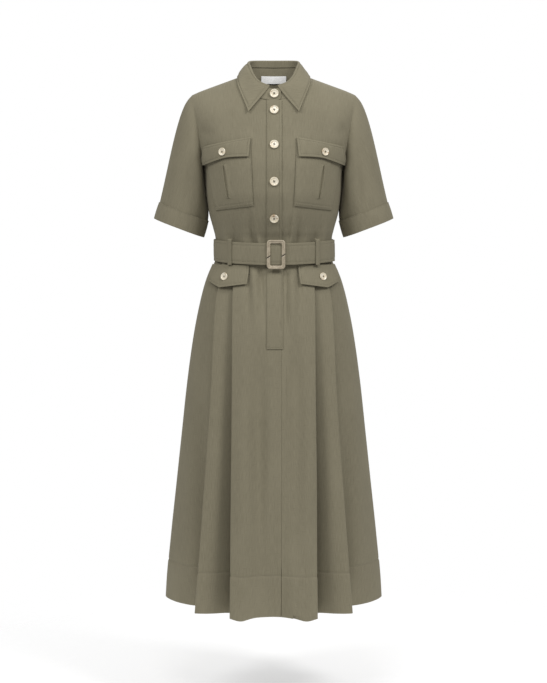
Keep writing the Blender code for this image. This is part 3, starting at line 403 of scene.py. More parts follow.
# %% Body tables
BODY = np.array((           # height, half width, front, back, power
    (-0.374, 0.1262, 0.0960, 0.0860, 2.20),
    (-0.343, 0.1276, 0.0995, 0.0880, 2.20),
    (-0.326, 0.1315, 0.1060, 0.0910, 2.20),
    (-0.286, 0.1420, 0.1210, 0.0980, 2.22),
    (-0.242, 0.1478, 0.1300, 0.1050, 2.25),
    (-0.196, 0.1512, 0.1290, 0.1100, 2.30),
    (-0.150, 0.1655, 0.1190, 0.1130, 2.35),
    (-0.109, 0.1780, 0.1040, 0.1110, 2.40),
    (-0.060, 0.1930, 0.0860, 0.1030, 2.40),
    (-0.030, 0.2010, 0.0770, 0.0960, 2.40),
    (0.0100, 0.2080, 0.0720, 0.0850, 2.40),
))
EDGE = np.array((           # height, half width of the side seam and then of the armhole
    (-0.374, 0.1262), (-0.343, 0.1276), (-0.326, 0.1315), (-0.286, 0.1420), (-0.242, 0.1478),
    (-0.196, 0.1512), (-0.186, 0.1558), (-0.1525, 0.1582), (-0.109, 0.1645), (-0.060, 0.1738),
    (-0.0323, 0.1780), (0.0200, 0.1780),
))


def smooth(xs, ys):
    """A function that reads a smooth curve through the points."""
    order = np.argsort(xs)
    xs, ys = np.asarray(xs, float)[order], np.asarray(ys, float)[order]
    steps = np.diff(ys) / np.diff(xs)
    before, after = steps[:-1], steps[1:]
    same = before * after > 0.0
    middle = np.where(same, 2 * before * after / np.where(same, before + after, 1.0), 0.0)
    slopes = np.concatenate([steps[:1], middle, steps[-1:]])

    def read(x):
        x = np.clip(x, xs[0], xs[-1])
        k = np.clip(np.searchsorted(xs, x, side="right") - 1, 0, len(xs) - 2)
        span = xs[k + 1] - xs[k]
        u = (x - xs[k]) / span
        value = ys[k] * (2 * u ** 3 - 3 * u ** 2 + 1) + ys[k + 1] * (3 * u ** 2 - 2 * u ** 3)
        return value + span * (slopes[k] * (u ** 3 - 2 * u ** 2 + u) + slopes[k + 1] * (u ** 3 - u ** 2))

    return read


def mix(a, b, t):
    return a + (b - a) * t


def unit(vectors):
    return vectors / np.linalg.norm(vectors, axis=-1, keepdims=True)


def run_lengths(points):
    """How far along a line each of its points lies."""
    return np.concatenate([[0.0], np.cumsum(np.linalg.norm(np.diff(points, axis=0), axis=1))])


half_at = smooth(BODY[:, 0], BODY[:, 1])
DEPTH_AT = {"front": smooth(BODY[:, 0], BODY[:, 2]), "back": smooth(BODY[:, 0], BODY[:, 3])}
power_at = smooth(BODY[:, 0], BODY[:, 4])
edge_at = smooth(EDGE[:, 0], EDGE[:, 1])
print("body: half width at the waist", float(half_at(-0.374)))

# %% Bodice surface
WAIST, HEM, UNDERARM = -0.374, -1.144, -0.196
NECK_HALF, SHOULDER_HALF = 0.072, 0.178
RIDGE_TOP, NECK_RISE, SHOULDER_SLOPE, RIDGE_BACK = 0.0062, 0.0118, 0.363, 0.004
NECK_LOW = {"front": -0.0485, "back": 0.004}
SHOULDER_BEND, SHOULDER_DROP = 0.150, 0.0018    # its line bends down here, by this much at its end
ROLL = {"front": 0.075, "back": 0.055}
SEAM = 0.0005
BODICE_ROWS = (74, 34, 30)      # to the underarm, to the shoulder's turn and over it


def ridge_height(x):
    """Height of the shoulder seam's line above x."""
    x = np.abs(x)
    inside = RIDGE_TOP + NECK_RISE * (1.0 - x / NECK_HALF)
    drop = SHOULDER_DROP * (np.maximum(x - SHOULDER_BEND, 0.0) / (SHOULDER_HALF - SHOULDER_BEND)) ** 2
    return np.where(x < NECK_HALF, inside, RIDGE_TOP - SHOULDER_SLOPE * (x - NECK_HALF) - drop)


def neckline_height(x, face):
    reach = np.minimum(np.abs(x) / NECK_HALF, 1.0)
    low = NECK_LOW[face]
    return low + (RIDGE_TOP - low) * (1.0 - np.sqrt(1.0 - reach ** 2))


def bodice_y(x, height, face, off=0.0):
    """The bodice's surface: a squared oval that turns over the shoulder."""
    power = power_at(height)
    reach = np.minimum(np.abs(x) / half_at(height), 1.0)
    depth = DEPTH_AT[face](height) * (1.0 - reach ** power) ** (1.0 / power) + off
    drop = np.maximum(ridge_height(x) + off - height, 0.0)
    level = 1.0 - np.minimum(drop / (ROLL[face] + off), 1.0)
    turned = np.sqrt(1.0 - level ** 2)
    side = -1.0 if face == "front" else 1.0
    return mix(RIDGE_BACK + side * SEAM * 0.6, side * depth, turned)


# %% [markdown]
# ## Creases placed one by one
# A cloth simulation would give this dress folds of its own, in the wrong places. Worn cloth creases where it
# is pulled: up from the gathered waist, in from the armhole, down from the pleats. So each crease is a soft
# ridge or trough along a short line, with its own width and depth, and it dies away at both ends. They are
# uneven on purpose, because two that match look printed.

# %% Crease helper
def crease_field(x, z, creases):
    """Height of all the creases at places (x, z). A crease is its points, half width, height, and the
    share of its length at which it is tallest."""
    total = np.zeros(np.broadcast(x, z).shape)
    for points, width, height, peak in creases:
        points = np.asarray(points, float)
        lengths = run_lengths(points)
        best = np.full(total.shape, 1e9)
        where = np.zeros(total.shape)
        for k in range(len(points) - 1):
            ax, az = points[k]
            dx, dz = points[k + 1] - points[k]
            size = dx * dx + dz * dz
            t = np.clip(((x - ax) * dx + (z - az) * dz) / size, 0.0, 1.0)
            distance = np.hypot(x - ax - t * dx, z - az - t * dz)
            nearer = distance < best
            best = np.where(nearer, distance, best)
            where = np.where(nearer, (lengths[k] + t * math.sqrt(size)) / lengths[-1], where)
        rise = np.where(where < peak, where / max(peak, 1e-6), (1.0 - where) / max(1.0 - peak, 1e-6))
        swell = np.sin(np.clip(rise, 0.0, 1.0) * math.pi / 2) ** 1.5
        total += height * swell * np.exp(-(best / (width * (0.75 + 0.5 * swell))) ** 2)
    return total


def fade(value, low, high):
    """0 below low, 1 above high, smooth between."""
    t = np.clip((value - low) / (high - low), 0.0, 1.0)
    return t * t * (3.0 - 2.0 * t)


# Lines in metres on the front, seen from the front: (x, height) points, half width, height, peak.
FRONT_CREASES = (
    # the two long pulls beside the button band
    (((-0.0450, -0.248), (-0.0360, -0.305), (-0.0275, -0.360)), 0.0034, -0.0036, 0.75),
    (((0.0465, -0.258), (0.0370, -0.305), (0.0300, -0.360)), 0.0034, -0.0036, 0.75),
    # pulled up from the gathered waist
    (((-0.0280, -0.376), (-0.0345, -0.320), (-0.0455, -0.245)), 0.0049, 0.0044, 0.15),
    (((-0.0400, -0.376), (-0.0465, -0.325), (-0.0560, -0.262)), 0.0045, -0.0047, 0.2),
    (((0.0320, -0.376), (0.0385, -0.325), (0.0480, -0.255)), 0.0049, 0.0045, 0.15),
    (((0.0450, -0.376), (0.0500, -0.330), (0.0590, -0.272)), 0.0045, -0.0044, 0.2),
    (((-0.0600, -0.376), (-0.0640, -0.335), (-0.0700, -0.296)), 0.0053, 0.0035, 0.1),
    (((-0.0800, -0.376), (-0.0830, -0.340), (-0.0840, -0.305)), 0.0045, -0.0035, 0.1),
    (((-0.0990, -0.376), (-0.1030, -0.332), (-0.1110, -0.292)), 0.0053, 0.0040, 0.2),
    (((0.0660, -0.376), (0.0690, -0.335), (0.0740, -0.300)), 0.0045, 0.0029, 0.1),
    (((0.0840, -0.376), (0.0870, -0.345), (0.0900, -0.310)), 0.0053, -0.0037, 0.1),
    (((0.1030, -0.376), (0.1070, -0.336), (0.1140, -0.290)), 0.0053, 0.0040, 0.15),
    # between the pockets and the button band
    (((-0.0340, -0.130), (-0.0370, -0.200), (-0.0420, -0.270)), 0.0110, 0.0016, 0.6),
    (((0.0330, -0.120), (0.0380, -0.190), (0.0430, -0.260)), 0.0120, 0.0017, 0.6),
    # from the collar's points and over the chest
    (((-0.0500, -0.085), (-0.0420, -0.115), (-0.0290, -0.150)), 0.0100, -0.0014, 0.3),
    (((0.0560, -0.082), (0.0490, -0.105), (0.0330, -0.145)), 0.0110, -0.0016, 0.3),
    (((-0.0840, -0.040), (-0.0870, -0.085), (-0.0860, -0.130)), 0.0130, 0.0014, 0.5),
    (((0.0900, -0.045), (0.0930, -0.090), (0.0930, -0.130)), 0.0140, 0.0014, 0.5),
    # in from the armhole
    (((-0.1600, -0.115), (-0.1400, -0.120), (-0.1180, -0.116)), 0.0100, -0.0020, 0.2),
    (((-0.1640, -0.165), (-0.1480, -0.195), (-0.1370, -0.235)), 0.0100, -0.0025, 0.3),
    (((0.1600, -0.110), (0.1420, -0.118), (0.1200, -0.118)), 0.0110, -0.0019, 0.2),
    (((0.1640, -0.160), (0.1500, -0.190), (0.1400, -0.240)), 0.0090, -0.0026, 0.3),
)
BACK_CREASES = (
    (((-0.0200, -0.376), (-0.0230, -0.330), (-0.0260, -0.270)), 0.0080, -0.0029, 0.15),
    (((0.0260, -0.376), (0.0280, -0.335), (0.0330, -0.285)), 0.0075, -0.0032, 0.15),
    (((-0.0460, -0.376), (-0.0500, -0.325), (-0.0600, -0.250)), 0.0080, 0.0036, 0.15),
    (((0.0500, -0.376), (0.0550, -0.320), (0.0640, -0.255)), 0.0080, 0.0035, 0.15),
    (((-0.0760, -0.376), (-0.0800, -0.335), (-0.0860, -0.290)), 0.0070, -0.0033, 0.1),
    (((0.0800, -0.376), (0.0850, -0.330), (0.0920, -0.280)), 0.0075, -0.0030, 0.1),
    (((-0.1020, -0.376), (-0.1060, -0.335), (-0.1140, -0.280)), 0.0070, 0.0029, 0.15),
    (((0.1040, -0.376), (0.1090, -0.330), (0.1170, -0.275)), 0.0070, 0.0030, 0.15),
    (((-0.1560, -0.130), (-0.1250, -0.150), (-0.0900, -0.158)), 0.0120, -0.0022, 0.2),
    (((0.1570, -0.125), (0.1270, -0.147), (0.0930, -0.160)), 0.0120, -0.0023, 0.2),
    (((-0.0550, -0.030), (-0.0500, -0.090), (-0.0480, -0.160)), 0.0160, 0.0017, 0.4),
    (((0.0500, -0.035), (0.0480, -0.100), (0.0510, -0.170)), 0.0170, 0.0017, 0.4),
)
print("creases:", len(FRONT_CREASES), "front,", len(BACK_CREASES), "back")


# %% Creased bodice
def creased(x, height, face):
    """Points on the creased bodice (rows x columns x 3) at places given as arrays."""
    lines = FRONT_CREASES if face == "front" else BACK_CREASES
    seam = fade(ridge_height(x) - height, 0.004, 0.030) * fade(height, WAIST - 0.002, WAIST + 0.004)
    edge = fade(edge_at(height) - np.abs(x), 0.0005, 0.012)
    swell = crease_field(x, height, lines) * (0.15 + 0.85 * edge) * seam
    side = -1.0 if face == "front" else 1.0
    y = bodice_y(x, height, face)
    turn = np.clip(np.abs(x) / half_at(height), 0.0, 1.0)
    out_x = np.sign(x) * turn ** 3
    size = np.sqrt(out_x ** 2 + 1.0)
    return np.stack([x + swell * out_x / size, y + side * swell / size, height + 0.0 * x], axis=-1)


def column_heights(shares, face, rows=BODICE_ROWS):
    """Heights (rows x columns) from the waist to the underarm, to the shoulder's turn and over it."""
    x_top = np.abs(shares) * SHOULDER_HALF
    ridge = ridge_height(x_top)
    top = np.where(x_top < NECK_HALF, neckline_height(x_top, face), ridge)
    roll = ROLL[face]
    start = ridge - roll
    last = np.arcsin(np.clip(1.0 - (ridge - top) / roll, -1.0, 1.0))
    flat = np.ones_like(x_top)
    low = np.linspace(WAIST + SEAM, UNDERARM, rows[0], endpoint=False)[:, None] * flat
    middle = UNDERARM + (start - UNDERARM) * np.linspace(0, 1, rows[1], endpoint=False)[:, None]
    over = start + roll * np.sin(last * np.linspace(0, 1, rows[2] + 1)[:, None])
    return np.concatenate([low, middle, over])


def bodice_grid(shares, face):
    heights = column_heights(shares, face)
    return creased(shares * edge_at(heights), heights, face)


def shares_between(low, high, count):
    """Shares from low to high, closer towards the sides, with one at the neck's corner."""
    turns = np.linspace(math.asin(low), math.asin(high), count)
    shares = np.sin(turns)
    for corner in (-NECK_HALF / SHOULDER_HALF, NECK_HALF / SHOULDER_HALF):
        nearest = np.argmin(np.abs(shares - corner))
        if 0 < nearest < count - 1:
            shares[nearest] = corner
    return shares


FRONT_RIGHT_EDGE = -0.0107 / SHOULDER_HALF
FRONT_LEFT_EDGE = -0.0099 / SHOULDER_HALF
FRONTS = (
    ("bodice_front_right", shares_between(-1.0, FRONT_RIGHT_EDGE, 96)),
    ("bodice_front_left", shares_between(FRONT_LEFT_EDGE, 1.0, 104)),
)
for name, shares in FRONTS:
    cut_piece(name, bodice_grid(shares, "front"), CLOTH, "stretched")
grid = bodice_grid(shares_between(-1.0, 1.0, 168), "back")
grid[:BODICE_ROWS[0], [0, -1], 1] += SEAM * 1.5
cut_piece("bodice_back", grid[:, ::-1], CLOTH, "stretched")

# %% [markdown]
# ## Sleeves and cuffs
# A set-in sleeve leaves the armhole outwards at the shoulder and straight down under the arm, and ends in a
# level ring. Every column of the grid is a curve from a place on the armhole to its place on the ring, so the
# sleeve is one smooth tube that meets the bodice all the way round. The creases are drawn on the tube by
# angle round the arm and distance down it.

# %% Sleeve
CUFF_TOP = np.array((0.1974, 0.012, -0.2882))
CUFF_END = np.array((0.2078, 0.012, -0.3224))
CUFF_ACROSS = np.array((-0.934, 0.0, -0.357))
CUFF_HALF = (0.0555, 0.0563)
CUFF_DEEP = 0.0600
SLEEVE_HANG = np.array((0.24, 0.0, -0.97))
CROWN_OUT = np.array((0.83, 0.0, -0.55))
UNDER_OUT = np.array((-0.10, 0.0, -1.00))
BACKWARDS = np.array((0.0, 1.0, 0.0))
AROUND, DOWN = 190, 96
DOWN_SCALE = 0.30               # a crease's width counts a turn as 1 and the whole length as this much
HEAD_SWELL = 0.0007
SIDES = (("right", -1), ("left", 1))

# On a sleeve: turn round the arm (0 outside, 0.25 front, 0.5 inside), distance down as a share.
SLEEVE_CREASES = {
    "right": (
        (((0.300, 0.22), (0.345, 0.55), (0.360, 0.98)), 0.030, -0.0034, 0.35),
        (((0.215, 0.30), (0.245, 0.62), (0.255, 1.00)), 0.028, 0.0026, 0.55),
        (((0.385, 0.18), (0.335, 0.34), (0.260, 0.42)), 0.030, -0.0020, 0.25),
        (((0.110, 0.20), (0.135, 0.60), (0.140, 1.00)), 0.040, -0.0013, 0.6),
        (((0.700, 0.20), (0.670, 0.55), (0.660, 1.00)), 0.034, -0.0030, 0.35),
        (((0.790, 0.25), (0.770, 0.60), (0.765, 1.00)), 0.034, 0.0022, 0.5),
        (((0.600, 0.16), (0.660, 0.36), (0.740, 0.46)), 0.034, -0.0020, 0.25),
    ),
    "left": (
        (((0.305, 0.20), (0.340, 0.50), (0.352, 0.98)), 0.032, -0.0030, 0.3),
        (((0.225, 0.34), (0.250, 0.66), (0.262, 1.00)), 0.026, 0.0028, 0.6),
        (((0.390, 0.20), (0.345, 0.38), (0.280, 0.47)), 0.028, -0.0022, 0.25),
        (((0.120, 0.25), (0.130, 0.62), (0.150, 1.00)), 0.038, -0.0015, 0.5),
        (((0.690, 0.22), (0.675, 0.60), (0.665, 1.00)), 0.034, -0.0027, 0.4),
        (((0.800, 0.22), (0.775, 0.55), (0.770, 1.00)), 0.036, 0.0020, 0.5),
        (((0.595, 0.18), (0.650, 0.34), (0.720, 0.43)), 0.032, -0.0021, 0.25),
    ),
}


def bezier(a, b, c, d, t):
    u = 1.0 - t
    return a * u ** 3 + b * (3 * u * u * t) + c * (3 * u * t * t) + d * t ** 3


def resampled(loop, count):
    """A closed loop of points at equal distances, and each point's angle by its share of the length."""
    closed = np.concatenate([loop, loop[:1]])
    lengths = run_lengths(closed)
    at = np.linspace(0.0, lengths[-1], count, endpoint=False)
    points = np.stack([np.interp(at, lengths, closed[:, k]) for k in range(3)], axis=1)
    return points, 2.0 * np.pi * at / lengths[-1]


def armhole_loop():
    """The armhole's edge on the wearer's left, from the shoulder's tip down the front and up the back."""
    edges = {}
    for face in ("front", "back"):
        heights = column_heights(np.array([1.0]), face)[BODICE_ROWS[0]:]
        x = edge_at(heights)
        points = np.stack([x, bodice_y(x, heights, face), heights], axis=-1)
        edges[face] = points[:, 0]
    return np.concatenate([edges["front"][::-1], edges["back"][1:-1]])


def cuff_ring(middle, half, angles, proud=0.0):
    across = -np.cos(angles)[:, None] * CUFF_ACROSS * (half + proud)
    deep = -np.sin(angles)[:, None] * BACKWARDS * (CUFF_DEEP + proud)
    return middle + across + deep


def sleeve_columns():
    loop, angles = resampled(armhole_loop(), AROUND)
    ends = cuff_ring(CUFF_TOP, CUFF_HALF[0], angles)
    crown = ((1.0 + np.cos(angles)) / 2.0)[:, None]
    bulge = -np.sin(angles)[:, None] * 0.22 * BACKWARDS
    leave = mix(UNDER_OUT, CROWN_OUT, crown) + bulge
    # the seam allowances turn in, so the sleeve starts a little under the bodice's edge
    inwards = (loop.mean(axis=0) - loop) * np.array((0.0, 1.0, 1.0))
    start = loop + unit(inwards) * mix(0.0011, 0.0003, crown) - np.array((0.0012, 0.0, 0.0))
    first = start + leave * mix(0.040, 0.036, crown)
    last = ends - SLEEVE_HANG * mix(0.020, 0.1065, crown)
    t = np.linspace(0.0, 1.0, DOWN)[:, None, None]
    return bezier(start, first, last, ends, t), angles


def moved_out(grid, swell, round_u=False):
    """The grid moved along its own outward directions."""
    return grid + grid_normals(grid, round_u) * swell[..., None]


def outwards(grid, side):
    """A grid made for one side or the other, its columns turned round on the right to keep it facing out."""
    return grid if side > 0 else grid[:, ::-1]


def other_side(grid, side):
    """The grid on the wearer's left (1) or mirrored to the right (-1), its normals still outwards."""
    return outwards(grid * np.array((side, 1.0, 1.0)), side)


def tuck(distance, width, depth):
    """A narrow dip beside a seam or under a line of stitches."""
    return -depth * np.exp(-(distance / width) ** 2)


sleeve_base, sleeve_angles = sleeve_columns()
down_share = np.linspace(1.0, 0.0, DOWN)[:, None] * np.ones(AROUND)
turn_share = np.ones((DOWN, 1)) * (sleeve_angles / (2.0 * np.pi))
for name, side in SIDES:
    swell = crease_field(turn_share, down_share * DOWN_SCALE, tuple(
        (tuple((u, v * DOWN_SCALE) for u, v in points), width, height, peak)
        for points, width, height, peak in SLEEVE_CREASES[name]))
    swell = swell * fade(down_share, 0.03, 0.18)
    swell = swell * (1.0 - 0.55 * fade(down_share, 0.82, 1.0))
    # the sleeve's head is eased into the armhole, so it rises just past the seam
    head = fade(down_share, 0.0, 0.035) * (1.0 - fade(down_share, 0.05, 0.20))
    swell = swell + HEAD_SWELL * head * fade(np.cos(2.0 * np.pi * turn_share), -0.2, 0.8)
    # its columns run down from the armhole, so they are turned round to count rows from the cuff up
    outer = moved_out(other_side(sleeve_base[::-1], side), outwards(swell, side), True)
    cut_piece("sleeve_" + name, outer, CLOTH, "hung", True)

# %% [markdown]
# The cuff is a turned-up band, thicker than the sleeve and a hair proud of it. Its lower edge is a fold, so
# it is rounder than a cut edge, and its upper edge is sewn down, which leaves a dip along the seam.

# %% Cuffs
CUFF_PROUD, CUFF_BULGE = 0.0011, 0.0007
CUFF_ROWS = 26
cuff_line = CUFF_END - CUFF_TOP
cuff_long = np.linalg.norm(cuff_line)
cuff_start = CUFF_TOP + cuff_line / cuff_long * -3 * SEAM
for name, side in SIDES:
    rows = []
    for share in np.linspace(1.0, 0.0, CUFF_ROWS):
        bulge = CUFF_BULGE * math.sin(math.pi * share) ** 0.7
        rows.append(cuff_ring(mix(cuff_start, CUFF_END, share), mix(*CUFF_HALF, share), sleeve_angles,
                              CUFF_PROUD + bulge))
    turn = outwards(turn_share[:1], side)
    wave = np.zeros((1, AROUND))
    # the sleeve's creases that reach its end go on, weaker, in the cuff
    for points, width, height, peak in SLEEVE_CREASES[name]:
        if points[-1][1] > 0.9:
            wave = wave + 0.40 * height * np.exp(-((turn - points[-1][0]) / (width * 1.1)) ** 2)
    distance = np.linspace(1.0, 0.0, CUFF_ROWS)[:, None] * cuff_long
    dip = tuck(distance, 0.0012, 0.0006) * np.ones((1, AROUND))
    outer = moved_out(other_side(np.array(rows), side), wave + dip, True)
    PIECES["cuff_" + name] = np.concatenate([outer, outer[:, :1]], axis=1)
    cut_piece("cuff_" + name, outer, DOUBLE, "stretched", True)

# %% [markdown]
# ## Collar
# A shirt collar has two parts. The stand is a band that rises from the neckline and buttons in front. The
# fall starts at the stand's top, rolls over and comes down on the shoulders to two points. Both are drawn
# as curves across, one for each angle round the neck, so the roll's height and the fall's width come
# straight from two tables.

# %% Collar tables
ROLL_LINE = np.array((      # angle from the centre front, half width, y, z of the fold
    (0.0, 0.0000, -0.0690, -0.0210), (25.0, 0.0262, -0.0640, -0.0115), (50.0, 0.0418, -0.0470, 0.0060),
    (75.0, 0.0507, -0.0180, 0.0275), (90.0, 0.0535, 0.0040, 0.0350), (120.0, 0.0485, 0.0340, 0.0402),
    (150.0, 0.0288, 0.0510, 0.0418), (180.0, 0.0000, 0.0580, 0.0422),
))
LEAF_EDGE = np.array((      # angle, half width and z of the fall's outer edge
    (8.0, 0.0540, -0.0740), (25.0, 0.0595, -0.0590), (45.0, 0.0665, -0.0420), (62.0, 0.0730, -0.0260),
    (75.0, 0.0775, -0.0130), (84.0, 0.0793, -0.0010), (90.0, 0.0795, 0.0074),
))
LEAF_HALF, LEAF_BACK, LEAF_LOW, LEAF_OFF = 0.0795, 0.0820, -0.0065, 0.0040
TAB_ANGLE, TAB_OFF, FOLD_HALF = 13.0, 0.0024, 0.0028
STAND_IN, STAND_UP = 0.0004, 0.0004
roll_read = [smooth(ROLL_LINE[:, 0], ROLL_LINE[:, k]) for k in (1, 2, 3)]
leaf_read = [smooth(LEAF_EDGE[:, 0], LEAF_EDGE[:, k]) for k in (1, 2)]
UP = np.array((0.0, 0.0, 1.0))


def folded(angle):
    """Angle on the half from centre front to centre back, and the side it is on."""
    angle = np.asarray(angle, float) % 360.0
    return np.where(angle <= 180.0, angle, 360.0 - angle), np.where(angle <= 180.0, -1.0, 1.0)


def neck_points(angle):
    turn = np.radians(angle)
    x = -NECK_HALF * np.sin(turn)
    front = np.cos(turn) > 0.0
    z = np.where(front, neckline_height(x, "front"), neckline_height(x, "back"))
    y = np.where(front, bodice_y(x, z, "front"), bodice_y(x, z, "back"))
    return np.stack([x, y, z], axis=-1)


def roll_points(angle):
    turn, side = folded(angle)
    x, y, z = (read(turn) for read in roll_read)
    return np.stack([side * x, y, z], axis=-1)


def leaf_points(angle):
    turn, side = folded(angle)
    front_x, front_z = (read(turn) for read in leaf_read)
    front_z = np.minimum(front_z, ridge_height(front_x) + LEAF_OFF)
    front_y = bodice_y(front_x, front_z, "front", LEAF_OFF)
    back_x = LEAF_HALF * np.sin(np.radians(turn))
    back = LEAF_BACK * -np.cos(np.radians(turn))
    reach = np.minimum(back_x / half_at(0.0), 1.0)
    depth = DEPTH_AT["back"](0.0) * (1.0 - reach ** 2.4) ** (1.0 / 2.4) + LEAF_OFF
    turned = np.clip(back / (depth - RIDGE_BACK), 0.0, 1.0)
    back_z = ridge_height(back_x) + LEAF_OFF - (ROLL["back"] + LEAF_OFF) * (1.0 - np.sqrt(1.0 - turned ** 2))
    ahead = turn <= 90.0
    x = side * np.where(ahead, front_x, back_x)
    y = np.where(ahead, front_y, RIDGE_BACK + back)
    return np.stack([x, y, np.where(ahead, front_z, np.maximum(back_z, LEAF_LOW))], axis=-1)


def away_from_neck(angle):
    ahead = roll_points(angle + 2.0) - roll_points(angle - 2.0)
    out = unit(np.stack([ahead[..., 1], -ahead[..., 0], 0.0 * ahead[..., 0]], axis=-1))
    facing = ((roll_points(angle) - np.array((0.0, -0.002, 0.0))) * out).sum(axis=-1)
    return out * np.sign(facing)[..., None]


def stand_share(angle):
    return mix(0.90, 0.62, np.minimum(folded(angle)[0] / 90.0, 1.0))[..., None]


print("collar: tables read")

# %% Collar stand
STAND_ROWS, STAND_CORNER = 16, 4.5      # the ends' corners are round over so many degrees
stand_angles = np.linspace(-TAB_ANGLE, 360.0 + TAB_ANGLE, 200)
lap_read = smooth((TAB_ANGLE, 40.0), (TAB_OFF, 0.0))
shift = away_from_neck(stand_angles) * (lap_read(stand_angles) - STAND_IN)[:, None]
stand_low = neck_points(stand_angles) + UP * STAND_UP + shift
stand_high = mix(neck_points(stand_angles), roll_points(stand_angles), stand_share(stand_angles)) + shift
# the ends are rounded: the stand's height falls off over its last few millimetres
from_end = np.minimum(stand_angles + TAB_ANGLE, 360.0 + TAB_ANGLE - stand_angles)
corner = np.sqrt(np.clip(1.0 - (1.0 - np.clip(from_end / STAND_CORNER, 0.0, 1.0)) ** 2, 0.0, 1.0))
stand_rows = []
for share in np.linspace(0.0, 1.0, STAND_ROWS):
    kept = 0.5 + (share - 0.5) * (0.45 + 0.55 * corner)
    stand_rows.append(mix(stand_low, stand_high, kept[:, None]))
stand_grid = np.array(stand_rows)[:, ::-1]
cut_piece("collar_stand", stand_grid, DOUBLE, "stretched")

# %% Collar fall
IN_STAND_ROWS, FOLD_ROWS, FALL_ROWS = 8, 13, 46
POINT_LIFT, FALL_SWELL, FALL_WAVE = 0.0032, 0.0011, 0.0010
COLLAR_INSET = 0.0052       # from the edge to the stitches
fall_angles = np.concatenate([
    np.linspace(8.0, 84.0, 74), np.linspace(85.0, 275.0, 110), np.linspace(276.0, 352.0, 74)])
out = away_from_neck(fall_angles)
roll = roll_points(fall_angles)
edge = leaf_points(fall_angles)
base = mix(neck_points(fall_angles), roll, stand_share(fall_angles))
rise = unit(roll - base)
rows = []
for share in np.linspace(0.0, 1.0, IN_STAND_ROWS, endpoint=False):
    rows.append(mix(base + rise * SEAM * 3, roll, share) - out * DOUBLE)
middle = roll + out * (FOLD_HALF - DOUBLE)
for turn in np.linspace(0.0, math.pi, FOLD_ROWS, endpoint=False):
    rows.append(middle - out * (FOLD_HALF * math.cos(turn)) + UP * (FOLD_HALF * math.sin(turn)))
start = roll + out * (2 * FOLD_HALF - DOUBLE)
first = mix(start - rise * 0.010, mix(start, edge, 0.30), 0.65) + out * 0.0008
last = mix(edge, start, 0.33) + out * 0.0004
for share in np.linspace(0.0, 1.0, FALL_ROWS):
    rows.append(bezier(start, first, last, edge, share))
collar_grid = np.array(rows)
# the points lift a little off the chest, the fall swells between fold and edge, and its stitched rim is flat
fallen = (np.arange(len(rows)) - IN_STAND_ROWS - FOLD_ROWS) / (FALL_ROWS - 1.0)
share = np.clip(fallen, 0.0, 1.0)[:, None]
turn, side = folded(fall_angles)
lengths = lengths_along(collar_grid, 0)
to_edge = lengths[-1] - lengths
across = lengths_along(collar_grid, 1)
to_end = np.minimum(across, across[:, -1:] - across)
on_fall = fade(share, 0.02, 0.20)
near = np.minimum(to_edge, np.where(share > 0.0, to_end, 1.0))
swell = on_fall * (FALL_SWELL * fade(near, 0.003, 0.010) + tuck(near - COLLAR_INSET, 0.0012, 0.0006))
swell = swell + on_fall * POINT_LIFT * share ** 2 * fade(30.0 - turn, 0.0, 22.0)[None, :]
ripple = np.sin(np.radians(fall_angles * 5.0))[None, :]
collar_grid = moved_out(collar_grid, swell + on_fall * FALL_WAVE * np.sin(math.pi * share) * ripple)
cut_piece("collar", collar_grid, DOUBLE, "folded")

# %% [markdown]
# ## Skirt
# The skirt hangs from the waist on a squared oval that grows towards the hem. Each half of it has two knife
# pleats: the cloth runs out to a fold edge, turns back under it, turns again and comes out to the next one.
# Going along the oval and stepping in from it describes that exactly, at every height, so the pleats are
# true folds with cloth under them and the hem shows their zigzag.

# %% Skirt tables
SKIRT = np.array((          # height, half width, front, back
    (-0.374, 0.1262, 0.0960, 0.0860), (-0.394, 0.1282, 0.0972, 0.0876), (-0.406, 0.1335, 0.0985, 0.0905),
    (-0.420, 0.1418, 0.1035, 0.0995),
    (-0.449, 0.1520, 0.1140, 0.1110), (-0.484, 0.1610, 0.1260, 0.1210), (-0.554, 0.1750, 0.1430, 0.1350),
    (-0.660, 0.1900, 0.1580, 0.1500), (-0.783, 0.2035, 0.1730, 0.1650), (-0.889, 0.2150, 0.1860, 0.1780),
    (-0.994, 0.2265, 0.1990, 0.1900), (-1.100, 0.2365, 0.2100, 0.2010), (-1.144, 0.2390, 0.2140, 0.2050),
))
SKIRT_POWER = 2.2
PLEATS = np.array((         # height, then where the fold edges lie: front 1, front 2, back 1, back 2
    (-0.374, 0.0850, 0.1085, 0.0650, 0.1020), (-0.449, 0.0880, 0.1200, 0.0700, 0.1140),
    (-0.484, 0.0895, 0.1265, 0.0730, 0.1190), (-0.682, 0.0905, 0.1370, 0.0800, 0.1330),
    (-1.144, 0.0955, 0.1715, 0.0920, 0.1650),
))
STEPS = {                   # depth of each pleat at the waist and the hem, and how soon it comes out again
    "front": ((0.0052, 0.0700, 1.2), (0.0052, 0.0860, 1.3)),
    "back": ((0.0052, 0.0460, 1.2), (0.0052, 0.0600, 1.3)),
}
CENTRE_SEAM, SLIT_TOP, SLIT_HALF = 0.0172, -1.043, 0.0008
LAP, TURN, STEP_GROWTH = (0.0200, 0.0110), (0.0016, 0.0050), 1.3
HEM_SIDE_LIFT = 0.0050
HEM_SAG, SAG_AT, SAG_WIDE = 0.0070, 0.0700, 0.0200
HEM_FULLNESS = 0.0005
CENTRE_DIP = {"front": 0.024, "back": 0.016}
skirt_half_at = smooth(SKIRT[:, 0], SKIRT[:, 1])
SKIRT_DEPTH = {"front": smooth(SKIRT[:, 0], SKIRT[:, 2]), "back": smooth(SKIRT[:, 0], SKIRT[:, 3])}
PLEAT_AT = {"front": [smooth(PLEATS[:, 0], PLEATS[:, k]) for k in (1, 2)],
            "back": [smooth(PLEATS[:, 0], PLEATS[:, k]) for k in (3, 4)]}
CENTRE_COLUMNS, PLEAT_COLUMNS = 44, (30, 44)
